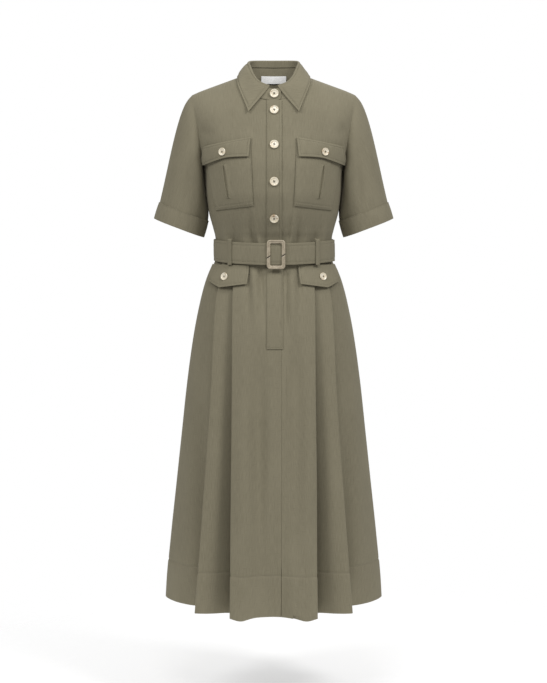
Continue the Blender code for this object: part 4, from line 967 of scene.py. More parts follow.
SKIRT_ROWS = 124
HEM_DEEP = 0.088            # the hem is turned up so far; rows lie closer along its stitches
HEM_ROWS = HEM + HEM_DEEP + np.array((-0.0044, -0.0022, 0.0, 0.0022, 0.0044))
SKIRT_HEIGHTS = mix(HEM, WAIST - SEAM, 1.0 - (1.0 - np.linspace(0.0, 1.0, SKIRT_ROWS)) ** 1.25)
SKIRT_HEIGHTS = np.sort(np.append(SKIRT_HEIGHTS, HEM_ROWS))
# the layers folded under a pleat's edge hang a little higher: (place along the row, share of the lift)
UNDER_LAYERS = ((52, 0.0), (60, 1.0), (72, 1.0), (84, 0.0))
UNDER_LIFT = 0.0022
# the right panel's slit facing lies under the left panel, and the back's allowance under both side seams
SLIT_FACING = ((0.0012, 0.0016), (0.0050, 0.0019), (0.0110, 0.0021))
SIDE_ALLOWANCE = ((-0.0010, -0.0014), (-0.0012, -0.0050))

# On the skirt's front, seen from the front: (x, height) points, half width, height, peak.
SKIRT_CREASES = {
    "front": (
        # gathered beside the button band under the belt
        (((-0.0300, -0.400), (-0.0262, -0.450), (-0.0200, -0.530)), 0.0056, -0.0056, 0.15),
        (((-0.0430, -0.400), (-0.0400, -0.460), (-0.0380, -0.560)), 0.0064, 0.0054, 0.2),
        (((-0.0560, -0.400), (-0.0550, -0.450), (-0.0560, -0.540)), 0.0048, -0.0035, 0.15),
        (((0.0235, -0.400), (0.0250, -0.455), (0.0290, -0.570)), 0.0056, -0.0054, 0.2),
        (((0.0380, -0.400), (0.0400, -0.460), (0.0440, -0.580)), 0.0064, 0.0049, 0.25),
        (((0.0520, -0.400), (0.0560, -0.450), (0.0620, -0.530)), 0.0052, -0.0041, 0.15),
        # long soft folds down the centre panel
        (((-0.0300, -0.540), (-0.0370, -0.760), (-0.0330, -1.020)), 0.0170, -0.0126, 0.4),
        (((-0.0600, -0.500), (-0.0590, -0.800), (-0.0620, -1.140)), 0.0190, 0.0100, 0.7),
        (((0.0420, -0.520), (0.0520, -0.720), (0.0530, -0.960)), 0.0170, -0.0121, 0.4),
        (((0.0720, -0.520), (0.0730, -0.800), (0.0700, -1.120)), 0.0160, 0.0082, 0.6),
        (((-0.0060, -0.620), (-0.0080, -0.860), (-0.0060, -1.130)), 0.0150, 0.0073, 0.7),
        (((0.0330, -0.860), (0.0370, -1.000), (0.0420, -1.144)), 0.0140, 0.0078, 1.0),
        # between the pleats and down the sides
        (((-0.1130, -0.560), (-0.1260, -0.800), (-0.1390, -1.100)), 0.0120, 0.0048, 0.6),
        (((0.1110, -0.540), (0.1230, -0.780), (0.1340, -1.100)), 0.0120, 0.0054, 0.7),
        (((-0.1530, -0.470), (-0.1740, -0.700), (-0.1980, -1.144)), 0.0100, -0.0067, 0.7),
        (((-0.1700, -0.600), (-0.1930, -0.860), (-0.2150, -1.144)), 0.0110, 0.0058, 0.8),
        (((0.1540, -0.480), (0.1780, -0.740), (0.2010, -1.144)), 0.0100, -0.0061, 0.75),
        (((0.1660, -0.560), (0.1940, -0.880), (0.2140, -1.144)), 0.0110, 0.0064, 0.8),
    ),
    "back": (
        (((-0.0180, -0.400), (-0.0200, -0.470), (-0.0260, -0.600)), 0.0070, -0.0044, 0.15),
        (((0.0220, -0.400), (0.0230, -0.480), (0.0250, -0.580)), 0.0065, -0.0046, 0.2),
        (((-0.0410, -0.400), (-0.0430, -0.480), (-0.0460, -0.640)), 0.0090, 0.0038, 0.2),
        (((0.0440, -0.400), (0.0470, -0.490), (0.0500, -0.620)), 0.0085, 0.0036, 0.2),
        (((-0.0300, -0.600), (-0.0360, -0.820), (-0.0340, -1.100)), 0.0170, -0.0086, 0.5),
        (((0.0360, -0.560), (0.0430, -0.800), (0.0460, -1.060)), 0.0180, -0.0090, 0.5),
        (((0.0030, -0.560), (0.0050, -0.860), (0.0080, -1.144)), 0.0170, 0.0074, 0.8),
        (((-0.1050, -0.560), (-0.1190, -0.800), (-0.1290, -1.120)), 0.0120, 0.0054, 0.6),
        (((0.1020, -0.540), (0.1150, -0.800), (0.1260, -1.110)), 0.0130, 0.0051, 0.7),
        (((-0.1520, -0.500), (-0.1780, -0.780), (-0.2010, -1.144)), 0.0100, -0.0064, 0.7),
        (((0.1500, -0.480), (0.1760, -0.760), (0.2000, -1.144)), 0.0110, -0.0061, 0.7),
    ),
}
print("skirt:", sum(len(lines) for lines in SKIRT_CREASES.values()), "creases")


# %% Skirt rows
def growth(height):
    return (WAIST - height) / (WAIST - HEM)


def near_hem(height):
    """0 over most of the skirt, growing to 1 at the hem."""
    return fade(-height, 1.02, 1.144)


def below_belt(height):
    """0 where the belt holds the cloth, 1 below it."""
    return fade(-height, 0.392, 0.412)


def centre_dip(across, height, face):
    """How far the panel between the pleats lies back, by the distance across from its middle."""
    bell = np.cos(math.pi / 2 * np.minimum(across / PLEAT_AT[face][0](height), 1.0)) ** 2
    return CENTRE_DIP[face] * growth(height) ** 1.5 * bell


def quarter_oval(height, face, steps=320):
    """Places and outward directions along a quarter of the skirt's oval, with their lengths."""
    turn = np.linspace(0.0, math.pi / 2, steps + 1)
    share = 2.0 / SKIRT_POWER
    x = skirt_half_at(height) * np.sin(turn) ** share
    y = SKIRT_DEPTH[face](height) * np.maximum(np.cos(turn), 0.0) ** share
    lengths = np.concatenate([[0.0], np.cumsum(np.hypot(np.diff(x), np.diff(y)))])
    tangent_x, tangent_y = np.gradient(x, lengths), np.gradient(y, lengths)
    size = np.hypot(tangent_x, tangent_y)
    return x, y, -tangent_y / size, tangent_x / size, lengths


def oval_place(oval, length, inward):
    """(x, y) along the oval and inward from it, with the place itself before it moved."""
    x, y, nx, ny, lengths = oval
    side = np.where(length < 0.0, -1.0, 1.0)
    at = np.minimum(np.abs(length), lengths[-1])
    px, py = np.interp(at, lengths, x), np.interp(at, lengths, y)
    mx, my = np.interp(at, lengths, nx), np.interp(at, lengths, ny)
    return side * (px - mx * inward), py - my * inward, side * px


def pleat_path(edge, step, lap, turn):
    """(length, inward) over a fold edge, back under it and round to come out again."""
    quarter = step / 4.0
    a = np.radians(np.linspace(90.0, -90.0, 13))
    over = np.stack([edge - turn + turn * np.cos(a), quarter * (1.0 - np.sin(a))], 1)
    back = edge - lap + turn
    under = np.stack([np.linspace(edge - turn, back, 7)[1:-1], np.full(5, 2.0 * quarter)], 1)
    b = np.radians(np.linspace(90.0, 270.0, 11))
    round_again = np.stack([back + turn * np.cos(b), quarter * (3.0 - np.sin(b))], 1)
    return np.concatenate([over, under, round_again])


def half_row(height, face, start_x):
    """Lengths and inward steps across one half of the skirt, from start_x to the side seam."""
    oval = quarter_oval(height, face)
    x, _, _, _, lengths = oval
    g = growth(height)
    lap, turn = mix(*LAP, g), mix(*TURN, g)
    edges = [float(np.interp(read(height), x, lengths)) for read in PLEAT_AT[face]]
    start = float(np.interp(abs(start_x), x, lengths)) * (1.0 if start_x >= 0.0 else -1.0)
    length = np.linspace(start, edges[0] - turn, CENTRE_COLUMNS, endpoint=False)
    path = [np.stack([length, centre_dip(np.interp(np.abs(length), lengths, x), height, face)], 1)]
    ends = (edges[1] - turn, lengths[-1])
    for k, (waist_step, hem_step, power) in enumerate(STEPS[face]):
        step = mix(waist_step, hem_step, g ** STEP_GROWTH)
        path.append(pleat_path(edges[k], step, lap, turn))
        out_at = edges[k] + turn
        inner_run = np.linspace(edges[k] - lap + turn, out_at, 8)[1:-1]
        path.append(np.stack([inner_run, np.full(6, step)], 1))
        u = np.linspace(0.0, 1.0, PLEAT_COLUMNS[k], endpoint=k == 1)
        if k == 1:
            u = np.sin(math.pi / 2 * u)
        path.append(np.stack([mix(out_at, ends[k], u), step * (1.0 - u) ** power], 1))
    return oval, np.concatenate(path)


def creased_row(height, face, start_x, mirror):
    oval, path = half_row(height, face, start_x)
    _, _, at = oval_place(oval, path[:, 0], 0.0)
    sign = -1.0 if mirror else 1.0
    swell = crease_field(sign * at, np.full(len(at), height), SKIRT_CREASES[face])
    swell = swell * below_belt(height) * fade(skirt_half_at(height) - np.abs(at), 0.0, 0.012)
    x, y, _ = oval_place(oval, path[:, 0], path[:, 1] - swell)
    facing = -1.0 if face == "front" else 1.0
    tucked = np.interp(np.arange(len(at)), *zip(*UNDER_LAYERS))
    lift = HEM_SIDE_LIFT * (x / skirt_half_at(HEM)) ** 4 + UNDER_LIFT * tucked
    lift = lift * near_hem(height)
    return np.stack([sign * x, facing * y, height + lift], axis=1)


def skirt_half(face, starts, mirror):
    """Rows from the hem up, each from its own place beside the middle out to the side seam."""
    return np.array([creased_row(h, face, start, mirror) for h, start in zip(SKIRT_HEIGHTS, starts)])


def lapped(grid, end, steps):
    """The grid with seam allowance past one of its ends, turned in under its neighbour by (x, y) steps."""
    extra = [grid[:, end:end + 1 or None] + np.array((dx, dy, 0.0)) for dx, dy in steps]
    return np.concatenate([grid] + extra if end else extra[::-1] + [grid], axis=1)


slit = np.where(SKIRT_HEIGHTS < SLIT_TOP, SLIT_HALF, SEAM * 0.7)
middle = np.zeros(len(SKIRT_HEIGHTS))
back_left, back_right = skirt_half("back", middle, False), skirt_half("back", middle, True)
SKIRT_GRIDS = {
    "skirt_front_right": skirt_half("front", -CENTRE_SEAM + slit, True)[:, ::-1],
    "skirt_front_left": skirt_half("front", CENTRE_SEAM + slit, False),
    "skirt_back": np.concatenate([back_left[:, ::-1], back_right[:, 1:]], axis=1),
}
# the hem is turned up and sewn, so the cloth is a little fuller below the stitches and dips along them
above_hem = (SKIRT_HEIGHTS - HEM)[:, None]
hem_swell = HEM_FULLNESS * fade(HEM_DEEP - above_hem, 0.0, 0.004) + tuck(above_hem - HEM_DEEP, 0.0026, 0.0009)
for name, grid in SKIRT_GRIDS.items():
    grid = moved_out(grid, CLOTH / 2 + hem_swell * np.ones((1, grid.shape[1])))
    if name == "skirt_front_right":
        grid = lapped(grid, -1, SLIT_FACING)
    elif name == "skirt_back":
        grid = lapped(grid, 0, SIDE_ALLOWANCE)
        grid = lapped(grid, -1, tuple((-dx, dy) for dx, dy in SIDE_ALLOWANCE))
    # the cloth between two folds swings forward at the hem, and what swings forward hangs lower
    sag = HEM_SAG * np.exp(-((np.abs(grid[..., 0]) - SAG_AT) / SAG_WIDE) ** 2) * (grid[..., 1] < 0.0)
    grid[..., 2] -= sag * near_hem(grid[..., 2])
    SKIRT_GRIDS[name] = grid
    cut_piece(name, grid, CLOTH, "gathered")

# %% [markdown]
# ## What lies on the panels
# The button band, the pockets and the flaps are flat pieces sewn on to a curved, creased panel. Reading the
# panel's own surface under each of their points and moving out by a small step makes them follow it, and a
# thickness profile gives them a maker's edge: rounded rim, a dip along the stitches, a little fullness inside.

# %% Places on the panels
LIE = 0.0008


def front_place(x, height, off):
    """Points off the creased front of the bodice."""
    step = 0.0012
    across = creased(x + step, height, "front") - creased(x - step, height, "front")
    up = creased(x, height + step, "front") - creased(x, height - step, "front")
    return creased(x, height, "front") + unit(np.cross(across, up)) * np.asarray(off)[..., None]


def skirt_place(x, height, off):
    """Points off the skirt's centre front panel, creased like it."""
    x, height = np.broadcast_arrays(np.asarray(x, float), np.asarray(height, float))
    reach = np.minimum(np.abs(x) / skirt_half_at(height), 1.0)
    depth = SKIRT_DEPTH["front"](height) * (1.0 - reach ** SKIRT_POWER) ** (1.0 / SKIRT_POWER)
    swell = crease_field(x, height, SKIRT_CREASES["front"]) * below_belt(height)
    return np.stack([x, centre_dip(np.abs(x), height, "front") - depth - swell - off, height], axis=-1)


def patch_places(corners, columns, rows, closer=1.0):
    """(x, height) over a patch with corners inner top, outer top, outer low, inner low, with its shares."""
    u = 1.0 - (1.0 - np.linspace(0.0, 1.0, columns)) ** closer
    u, v = np.meshgrid(u, np.linspace(0.0, 1.0, rows))
    (ax, az), (bx, bz), (cx, cz), (dx, dz) = corners
    x = mix(mix(dx, cx, u), mix(ax, bx, u), v)
    z = mix(mix(dz, cz, u), mix(az, bz, u), v)
    return x, z, u, v


def rim_distance(x, z):
    """Distance of each point of a flat grid to its rim, and to each side: left, right, low, top."""
    points = np.stack([x, z, 0.0 * x], axis=-1)
    across, up = lengths_along(points, 1), lengths_along(points, 0)
    sides = (across, across[:, -1:] - across, up, up[-1:] - up)
    return np.minimum.reduce(sides), sides


def sewn_profile(distance, stitched, fullness=0.0005):
    """Thickness change by the distance from the rim: rounded, dipped under the stitches, fuller inside."""
    rounding = -0.0005 * np.exp(-distance / 0.0008)
    inside = fullness * fade(distance, stitched, stitched + 0.006)
    return rounding + inside + tuck(distance - stitched, 0.0011, 0.00045)


print("places ready")

# %% Button band
BAND_SEAM, BAND_EDGE = -0.0147, 0.0170
BAND_TOP, BAND_BEND = -0.0490, -0.06     # above the bend its rows lie closer
BUTTON_X, BUTTON_HEIGHTS = 0.0011, (-0.0342, -0.0705, -0.1445, -0.2220, -0.2995)
band_z = np.concatenate([
    np.linspace(WAIST + SEAM, BAND_BEND, 200, endpoint=False), np.linspace(BAND_BEND, BAND_TOP, 12)])
x, z = np.meshgrid(np.linspace(BAND_SEAM, BAND_EDGE, 34), band_z)
from_edge = BAND_EDGE - x
from_seam = x - BAND_SEAM
profile = sewn_profile(np.minimum(from_edge, from_seam + 0.002), 0.0055, 0.0003)
# the free edge stands off a little between the buttons and is held at each of them
pull = sum(np.exp(-((z - h) / 0.016) ** 2) for h in BUTTON_HEIGHTS)
off = LIE + DOUBLE + profile + 0.0010 * fade(x, 0.004, BAND_EDGE) * (1.0 - np.clip(pull, 0.0, 1.0))
button_dent = sum(np.exp(-((z - h) ** 2 + (x - BUTTON_X) ** 2) / 0.009 ** 2) for h in BUTTON_HEIGHTS)
band_grid = front_place(x, z, off - 0.0004 * button_dent)
cut_piece("front_placket", band_grid, DOUBLE, "laid", name="front_band")

# %% [markdown]
# The skirt has a shorter band in line with it, sewn down on all sides over the closed front seam.

# %% Skirt band
FLY_LOW, FLY_RIGHT = -0.5775, 0.0194
x, z = np.meshgrid(np.linspace(BAND_SEAM, FLY_RIGHT, 30), np.linspace(FLY_LOW, WAIST - SEAM, 130))
rim, sides = rim_distance(x, z)
profile = sewn_profile(np.minimum(sides[1], sides[2]), 0.0035, 0.0002)
fly_grid = skirt_place(x, z, CLOTH / 2 + LIE + DOUBLE + profile)
cut_piece("skirt_placket", fly_grid, DOUBLE, "laid", name="skirt_band")

# %% [markdown]
# The chest pockets are patches with a pleat in the middle that lets them bulge: its two folds meet at the top
# and bottom and part a little in between, which leaves a dark slit. The flaps hang over them from a seam of
# their own and curve up at the bottom, and their free edge stands off and throws a shadow.

# %% Chest pockets
POCKET = ((0.0480, -0.1480), (0.1480, -0.1560), (0.1240, -0.2830), (0.0430, -0.2730))
POCKET_OFF = 0.0014
SLIT = ((0.1040, -0.1860), (0.0935, -0.2580))
for name, side in SIDES:
    x, z, u, v = patch_places(POCKET, 170, 120, 1.25)
    rim, sides = rim_distance(x, z)
    slit_share = np.clip((z - SLIT[1][1]) / (SLIT[0][1] - SLIT[1][1]), 0.0, 1.0)
    slit_x = mix(SLIT[1][0], SLIT[0][0], slit_share)
    opening = np.sin(math.pi * slit_share) ** 0.8 * (z > SLIT[1][1]) * (z < SLIT[0][1])
    gap = 0.0019 * opening + 0.00035
    beside = np.abs(x - slit_x)
    open_here = fade(opening, 0.0, 0.10)
    groove = -0.0036 * open_here * np.exp(-(beside / gap) ** 4)
    lips = 0.0017 * open_here * np.exp(-((beside - gap * 1.5) / 0.0045) ** 2)
    hemmed = sewn_profile(np.minimum.reduce(sides[:3]), 0.0020, 0.0004)
    low_stitch = tuck(sides[2] - 0.0085, 0.0013, 0.0005)
    belly = 0.0026 * np.sin(math.pi * u) ** 1.2 * np.sin(math.pi * np.clip(v * 1.05, 0.0, 1.0)) ** 0.8
    off = POCKET_OFF + DOUBLE + hemmed + low_stitch + belly + groove + lips
    grid = outwards(front_place(side * x, z, off), side)
    PIECES["pocket_" + name] = grid
    cut_piece("chest_pocket_" + name, grid, DOUBLE, "laid")

# %% Chest flaps
FLAP_TOP = ((0.0486, -0.1289), (0.1475, -0.1462))
FLAP_LOW = np.array((       # share across, then where the low edge lies
    (0.00, 0.0522, -0.1700), (0.25, 0.0780, -0.1705), (0.46, 0.1000, -0.1720), (0.62, 0.1165, -0.1762),
    (0.80, 0.1350, -0.1818), (1.00, 0.1548, -0.1872),
))
FLAP_OFF = 0.0030
CHEST_BUTTON = (0.1090, -0.1588)
low_x, low_z = smooth(FLAP_LOW[:, 0], FLAP_LOW[:, 1]), smooth(FLAP_LOW[:, 0], FLAP_LOW[:, 2])
for name, side in SIDES:
    u, v = np.meshgrid(1.0 - (1.0 - np.linspace(0.0, 1.0, 130)) ** 1.2, np.linspace(0.0, 1.0, 56))
    x = mix(low_x(u), mix(FLAP_TOP[0][0], FLAP_TOP[1][0], u), v)
    z = mix(low_z(u), mix(FLAP_TOP[0][1], FLAP_TOP[1][1], u), v)
    rim, sides = rim_distance(x, z)
    near = np.minimum.reduce(sides[:3])
    held = np.exp(-((x - CHEST_BUTTON[0]) ** 2 + (z - CHEST_BUTTON[1]) ** 2) / 0.013 ** 2)
    stand = (FLAP_OFF + 0.0012 * u) * (1.0 - v) ** 1.6 * (1.0 + 1.1 * u ** 5) * (1.0 - 0.6 * held)
    belly = 0.0026 * np.sin(math.pi * u) ** 1.2 * np.sin(math.pi * np.clip(v, 0.25, 1.0)) ** 0.6
    belly = belly * (1.0 - 0.5 * held)
    off = POCKET_OFF + LIE + 2 * DOUBLE + 0.0006 + belly + sewn_profile(near, 0.0050, 0.0005)
    off = off + tuck(sides[3] - 0.0050, 0.0012, 0.0004) - 0.0010 * np.exp(-sides[3] / 0.0020)
    grid = outwards(front_place(side * x, z, off) - BACKWARDS * stand[..., None], side)
    PIECES["flap_" + name] = grid
    cut_piece("chest_flap_" + name, grid, DOUBLE, "hung")

# %% Hip flaps
HIP_FLAP_TOP, HIP_FLAP_POINT = -0.4005, -0.4485
HIP_FLAP_CORNERS = (-0.4400, -0.4330)    # towards the centre and towards the side
HIP_FLAP_HALF = (0.0605, 0.0530)
HIP_FLAP_SHARE, HIP_FLAP_PEAK = (0.95, 1.06), 0.25
HIP_BUTTON = (0.1025, -0.4255)


def hip_place(across, height, off):
    """Points round the skirt's front on the wearer's left, across from the button's place."""
    points = np.zeros(across.shape + (3,))
    for place in np.ndindex(across.shape):
        oval = quarter_oval(height[place], "front", 90)
        at = np.interp(HIP_BUTTON[0], oval[0], oval[4]) + across[place]
        x, y, _ = oval_place(oval, np.array(at), -off[place])
        points[place] = (x, -y, height[place])
    return points


u, v = np.meshgrid(np.linspace(-1.0, 1.0, 71), np.linspace(0.0, 1.0, 36))
low = np.interp(u, (-1.0, HIP_FLAP_PEAK, 1.0), (HIP_FLAP_CORNERS[0], HIP_FLAP_POINT, HIP_FLAP_CORNERS[1]))
across = u * mix(HIP_FLAP_HALF[1], HIP_FLAP_HALF[0], v) * np.where(u < 0.0, *HIP_FLAP_SHARE)
height = mix(low, HIP_FLAP_TOP, v)
rim, sides = rim_distance(across, height)
near = np.minimum.reduce(sides[:3])
off = CLOTH / 2 + LIE + DOUBLE + 0.0008 + FLAP_OFF * (1.0 - v) ** 1.7 + sewn_profile(near, 0.0045, 0.0005)
hip_grid = hip_place(across, height, off)
for name, side in SIDES:
    grid = other_side(hip_grid, side)
    PIECES["hip_" + name] = grid
    cut_piece("hip_flap_" + name, grid, DOUBLE, "hung")

# %% [markdown]
# ## Belt and loops
# The belt is a stiffened strap of the same cloth. It starts behind the buckle, goes once round the waist,
# passes through the buckle over its own start and ends in a tail on the left side, which stands off a
# little. Each loop is a narrow strip over it, turned in to the bodice at the top.

# %% Belt
BELT_WIDE, BELT_THICK = 0.0465, 0.0022
BELT_OVAL = (0.1292, 0.1048, 0.0915)
BELT_DIP, BELT_MID, TAIL_OFF = 0.0060, -0.3705, 0.0034
TAIL_END, TAIL_STAND = 77.0, 0.0014


def belt_place(angle, off, rise):
    """Points on the belt by the angle from the centre front towards the wearer's left."""
    turn = np.radians(angle)
    depth = np.where(np.cos(turn) > 0.0, BELT_OVAL[1], BELT_OVAL[2])
    share = 2.0 / SKIRT_POWER
    x = (BELT_OVAL[0] + off) * np.sign(np.sin(turn)) * np.abs(np.sin(turn)) ** share
    y = -(depth + off) * np.sign(np.cos(turn)) * np.abs(np.cos(turn)) ** share
    middle = BELT_MID - BELT_DIP * np.maximum(np.cos(turn), 0.0) ** 2
    return np.stack(np.broadcast_arrays(x, y, middle + rise), axis=-1)


angle, rise = np.meshgrid(
    np.linspace(6.0, 360.0 + TAIL_END, 560), np.linspace(-BELT_WIDE / 2, BELT_WIDE / 2, 27))
over = smooth((336.0, 352.0), (0.0, TAIL_OFF))(angle)
over = over + smooth((410.0, 360.0 + TAIL_END), (0.0, TAIL_STAND))(angle)
from_side = BELT_WIDE / 2 - np.abs(rise)
puff = 0.0003 * fade(from_side, 0.006, 0.012) + tuck(from_side - 0.0060, 0.0011, 0.00045)
wave = 0.0004 * np.sin(np.radians(angle * 3.0 + 40.0)) * (rise / BELT_WIDE) * 2.0
belt_grid = belt_place(angle, BELT_THICK + over + puff + wave - 0.0005 * np.exp(-from_side / 0.0007), rise)
cut_piece("belt", belt_grid, BELT_THICK - 0.0002, "stretched")

# %% Belt loops
LOOP_HALF, LOOP_THICK, LOOP_TOP, LOOP_LOW = 0.0052, 0.0013, -0.3440, -0.4000
LOOP_TURN, LOOP_ROWS, LOOP_COLUMNS = 0.004, 26, 11     # it turns in over the last of its height
# name, degrees round the waist, height of what lies under it
LOOPS = (
    ("front_right", -43.5, 0.0), ("front_left", 42.0, TAIL_OFF), ("back_right", -132.0, 0.0),
    ("back_left", 132.0, 0.0),
)


def belt_speed(angle):
    """Metres along the belt for each degree, which changes round its squared oval."""
    ends = belt_place(angle + np.array((-0.5, 0.5)), 0.0, 0.0)
    return float(np.linalg.norm(ends[1] - ends[0]))


for name, angle_at, under in LOOPS:
    clear = under + BELT_THICK + 0.0015 + LOOP_THICK
    turn_in = np.linspace(0.2, math.pi / 2, 8)
    height = np.concatenate([
        np.linspace(LOOP_LOW, LOOP_TOP - LOOP_TURN, LOOP_ROWS), LOOP_TOP - LOOP_TURN * (1.0 - np.sin(turn_in))])
    drop = np.concatenate([np.full(LOOP_ROWS, clear), mix(clear, 0.0016, 1.0 - np.cos(turn_in))])
    share = np.linspace(-1.0, 1.0, LOOP_COLUMNS)
    swing = share * LOOP_HALF / belt_speed(angle_at)
    rows = []
    for z_at, off_at in zip(height, drop):
        row = belt_place(angle_at + swing, off_at - 0.0004 * np.abs(share) ** 4, 0.0)
        row[:, 2] = z_at
        rows.append(row)
    grid = np.array(rows)
    PIECES["loop_" + name] = grid
    cut_piece("belt_loop_" + name, grid, LOOP_THICK, "stretched")

# %% [markdown]
# ## Neck label
# A woven satin label is sewn inside the back of the neck. It stays bare here: only its folded rim and the
# sheen of satin show. Satin floats its threads one way, which gives it a soft shine and a fine grain.

# %% Label
def make_satin():
    material, tree, shader = new_material("white_satin_label", Roughness=0.38, Sheen_Weight=0.5)
    floats = noise_on(tree, own_uv(tree), (260.0, 3600.0, 1.0), 2.0)
    colour = blended(tree, floats, 0.3, 0.7, (0.90, 0.90, 0.89), (0.97, 0.97, 0.96))
    linked(tree, (colour, shader.inputs["Base Color"]))
    raised(tree, shader, floats, 0.25, 0.0001)
    return material


satin = make_satin()
LABEL_HALF, LABEL_TOP, LABEL_LOW = 0.0273, 0.0100, -0.0065
x, z = np.meshgrid(np.linspace(-LABEL_HALF, LABEL_HALF, 60), np.linspace(LABEL_LOW, LABEL_TOP, 22))
# its top is sewn to the stand's foot, and it hangs down from there in front of the back
turn = 180.0 + np.degrees(np.arcsin(x[0] / NECK_HALF))
foot = neck_points(turn) - away_from_neck(turn) * (DOUBLE + STAND_IN)
rim, sides = rim_distance(x, z)
rise = 0.0002 * fade(rim, 0.0004, 0.0014) - 0.0001 * np.exp(-((rim - 0.0022) / 0.0005) ** 2)
y = foot[:, 1] - 0.0014 - rise
label_grid = np.stack([x, y, z], axis=-1)
piece = cloth_wall("neck_label_cloth", label_grid, 0.0006, satin)
keep(piece, ["neck_label"], "laid", label_grid)

# %% [markdown]
# Behind the label a facing hangs from the neck seam. It is a second layer that hides the seam's raw edges, and
# it hangs straight down while the back slopes away from it.

# %% Neck facing
FACING_DEEP = 0.034
turn, v = np.meshgrid(np.linspace(126.0, 234.0, 60), np.linspace(-1.0, 0.06, 16))
facing_top = neck_points(turn) - away_from_neck(turn) * (DOUBLE + STAND_IN - 0.0004)
facing_grid = facing_top + UP * (v * FACING_DEEP * np.cos(np.radians(turn - 180.0) * 0.75))[..., None]
facing_grid[..., 1] -= 0.10 * np.minimum(v, 0.0) * FACING_DEEP
piece = cloth_wall("neck_facing_cloth", facing_grid, 0.0008, twill)
keep(piece, [], "laid", facing_grid)

# %% [markdown]
# ## Buttons
# A four-hole button is turned on a lathe: a round rim, a dished middle, holes drilled through, and thread
# crossed through them. One profile spun round gives the body. The holes are cut with four small drills as a
# boolean, so they are real holes. The horn is cream and cloudy with one brown patch, placed differently on
# each button by its own UV map.

# %% Horn material
BUTTON_SIDES = 56


def make_horn():
    material, tree, shader = new_material(
        "ivory_horn_button", Roughness=0.22, Coat_Weight=0.35, Coat_Roughness=0.12)
    uv = own_uv(tree)
    clouds = noise_on(tree, uv, (95.0, 190.0, 1.0), 4.0, 0.6)
    patches = noise_on(tree, uv, (52.0, 78.0, 1.0), 3.0, 0.55)
    colour = blended(tree, clouds, 0.35, 0.70, (0.88, 0.82, 0.68), (0.74, 0.63, 0.44))
    colour = blended(tree, patches, 0.56, 0.68, colour, (0.36, 0.20, 0.07))
    linked(tree, (colour, shader.inputs["Base Color"]))
    return material


def make_thread(name, colour):
    material, tree, shader = new_material(name, Roughness=0.7, Sheen_Weight=0.2)
    place = node_of(tree, "ShaderNodeTexCoord")
    plies = node_of(tree, "ShaderNodeTexNoise", Scale=1400.0, Detail=1.0)
    mixed = blended(tree, plies.outputs["Fac"], 0.35, 0.65, tuple(0.72 * c for c in colour), colour)
    linked(tree, (place.outputs["Object"], plies.inputs["Vector"]), (mixed, shader.inputs["Base Color"]))
    return material


horn = make_horn()
button_thread = make_thread("dark_button_thread", (0.075, 0.062, 0.040))
stitch_thread = make_thread("khaki_stitch_thread", (0.165, 0.147, 0.098))
print("materials:", horn.name, button_thread.name, stitch_thread.name)

# %% Button shape
BUTTON_PROFILE = (          # share of the radius, metres forward
    (0.70, 0.0000), (0.86, 0.0003), (0.96, 0.0010), (1.00, 0.0018), (0.99, 0.0026), (0.95, 0.0032),
    (0.89, 0.0035), (0.82, 0.0034), (0.75, 0.0030), (0.66, 0.0025), (0.50, 0.0023), (0.25, 0.0023),
)
HOLE_SPREAD, HOLE_RADIUS = 0.205, 0.105


def ring_faces(rings, sides, first=0, closed=False):
    """Quads from each ring of points to the next one, with the points numbered from first."""
    faces = []
    for r in range(rings if closed else rings - 1):
        here, after = first + r * sides, first + (r + 1) % rings * sides
        faces += [(here + k, here + (k + 1) % sides, after + (k + 1) % sides, after + k) for k in range(sides)]
    return faces


def spun(profile, radius, sides):
    """A closed turned solid: rings of the profile, with a point at each end."""
    points = []
    for share, forward in profile:
        for k in range(sides):
            a = 2.0 * math.pi * k / sides
            points.append((radius * share * math.cos(a), radius * share * math.sin(a), forward))
    faces = ring_faces(len(profile), sides)
    low, high, last = len(points), len(points) + 1, len(points) - sides
    points += [(0.0, 0.0, profile[0][1]), (0.0, 0.0, profile[-1][1])]
    for k in range(sides):
        n = (k + 1) % sides
        faces += [(n, k, low), (last + k, last + n, high)]
    return points, faces


def bare_object(name, points, faces):
    mesh = bpy.data.meshes.new(name)
    mesh.from_pydata(points, [], faces)
    return in_scene(name, mesh)


def evaluated_mesh(thing):
    """A new mesh of the object as its modifiers leave it."""
    return bpy.data.meshes.new_from_object(thing.evaluated_get(bpy.context.evaluated_depsgraph_get()))


def drilled_button(radius):
    """A button of a radius, with four holes, as a mesh facing +Z."""
    body = bare_object("turned", *spun(BUTTON_PROFILE, radius, BUTTON_SIDES))
    points, faces = [], []
    for k in range(4):
        a = math.pi / 4 + k * math.pi / 2
        drill, sides = spun(((1.0, -0.001), (1.0, 0.006)), radius * HOLE_RADIUS, 14)
        shift = (radius * HOLE_SPREAD * math.cos(a), radius * HOLE_SPREAD * math.sin(a))
        first = len(points)
        points += [(px + shift[0], py + shift[1], pz) for px, py, pz in drill]
        faces += [tuple(first + i for i in face) for face in sides]
    drills = bare_object("drills", points, faces)
    cut = body.modifiers.new("holes", "BOOLEAN")
    cut.operation, cut.object, cut.solver = "DIFFERENCE", drills, "EXACT"
    result = evaluated_mesh(body)
    for made in (body, drills):
        bpy.data.objects.remove(made)
    return result


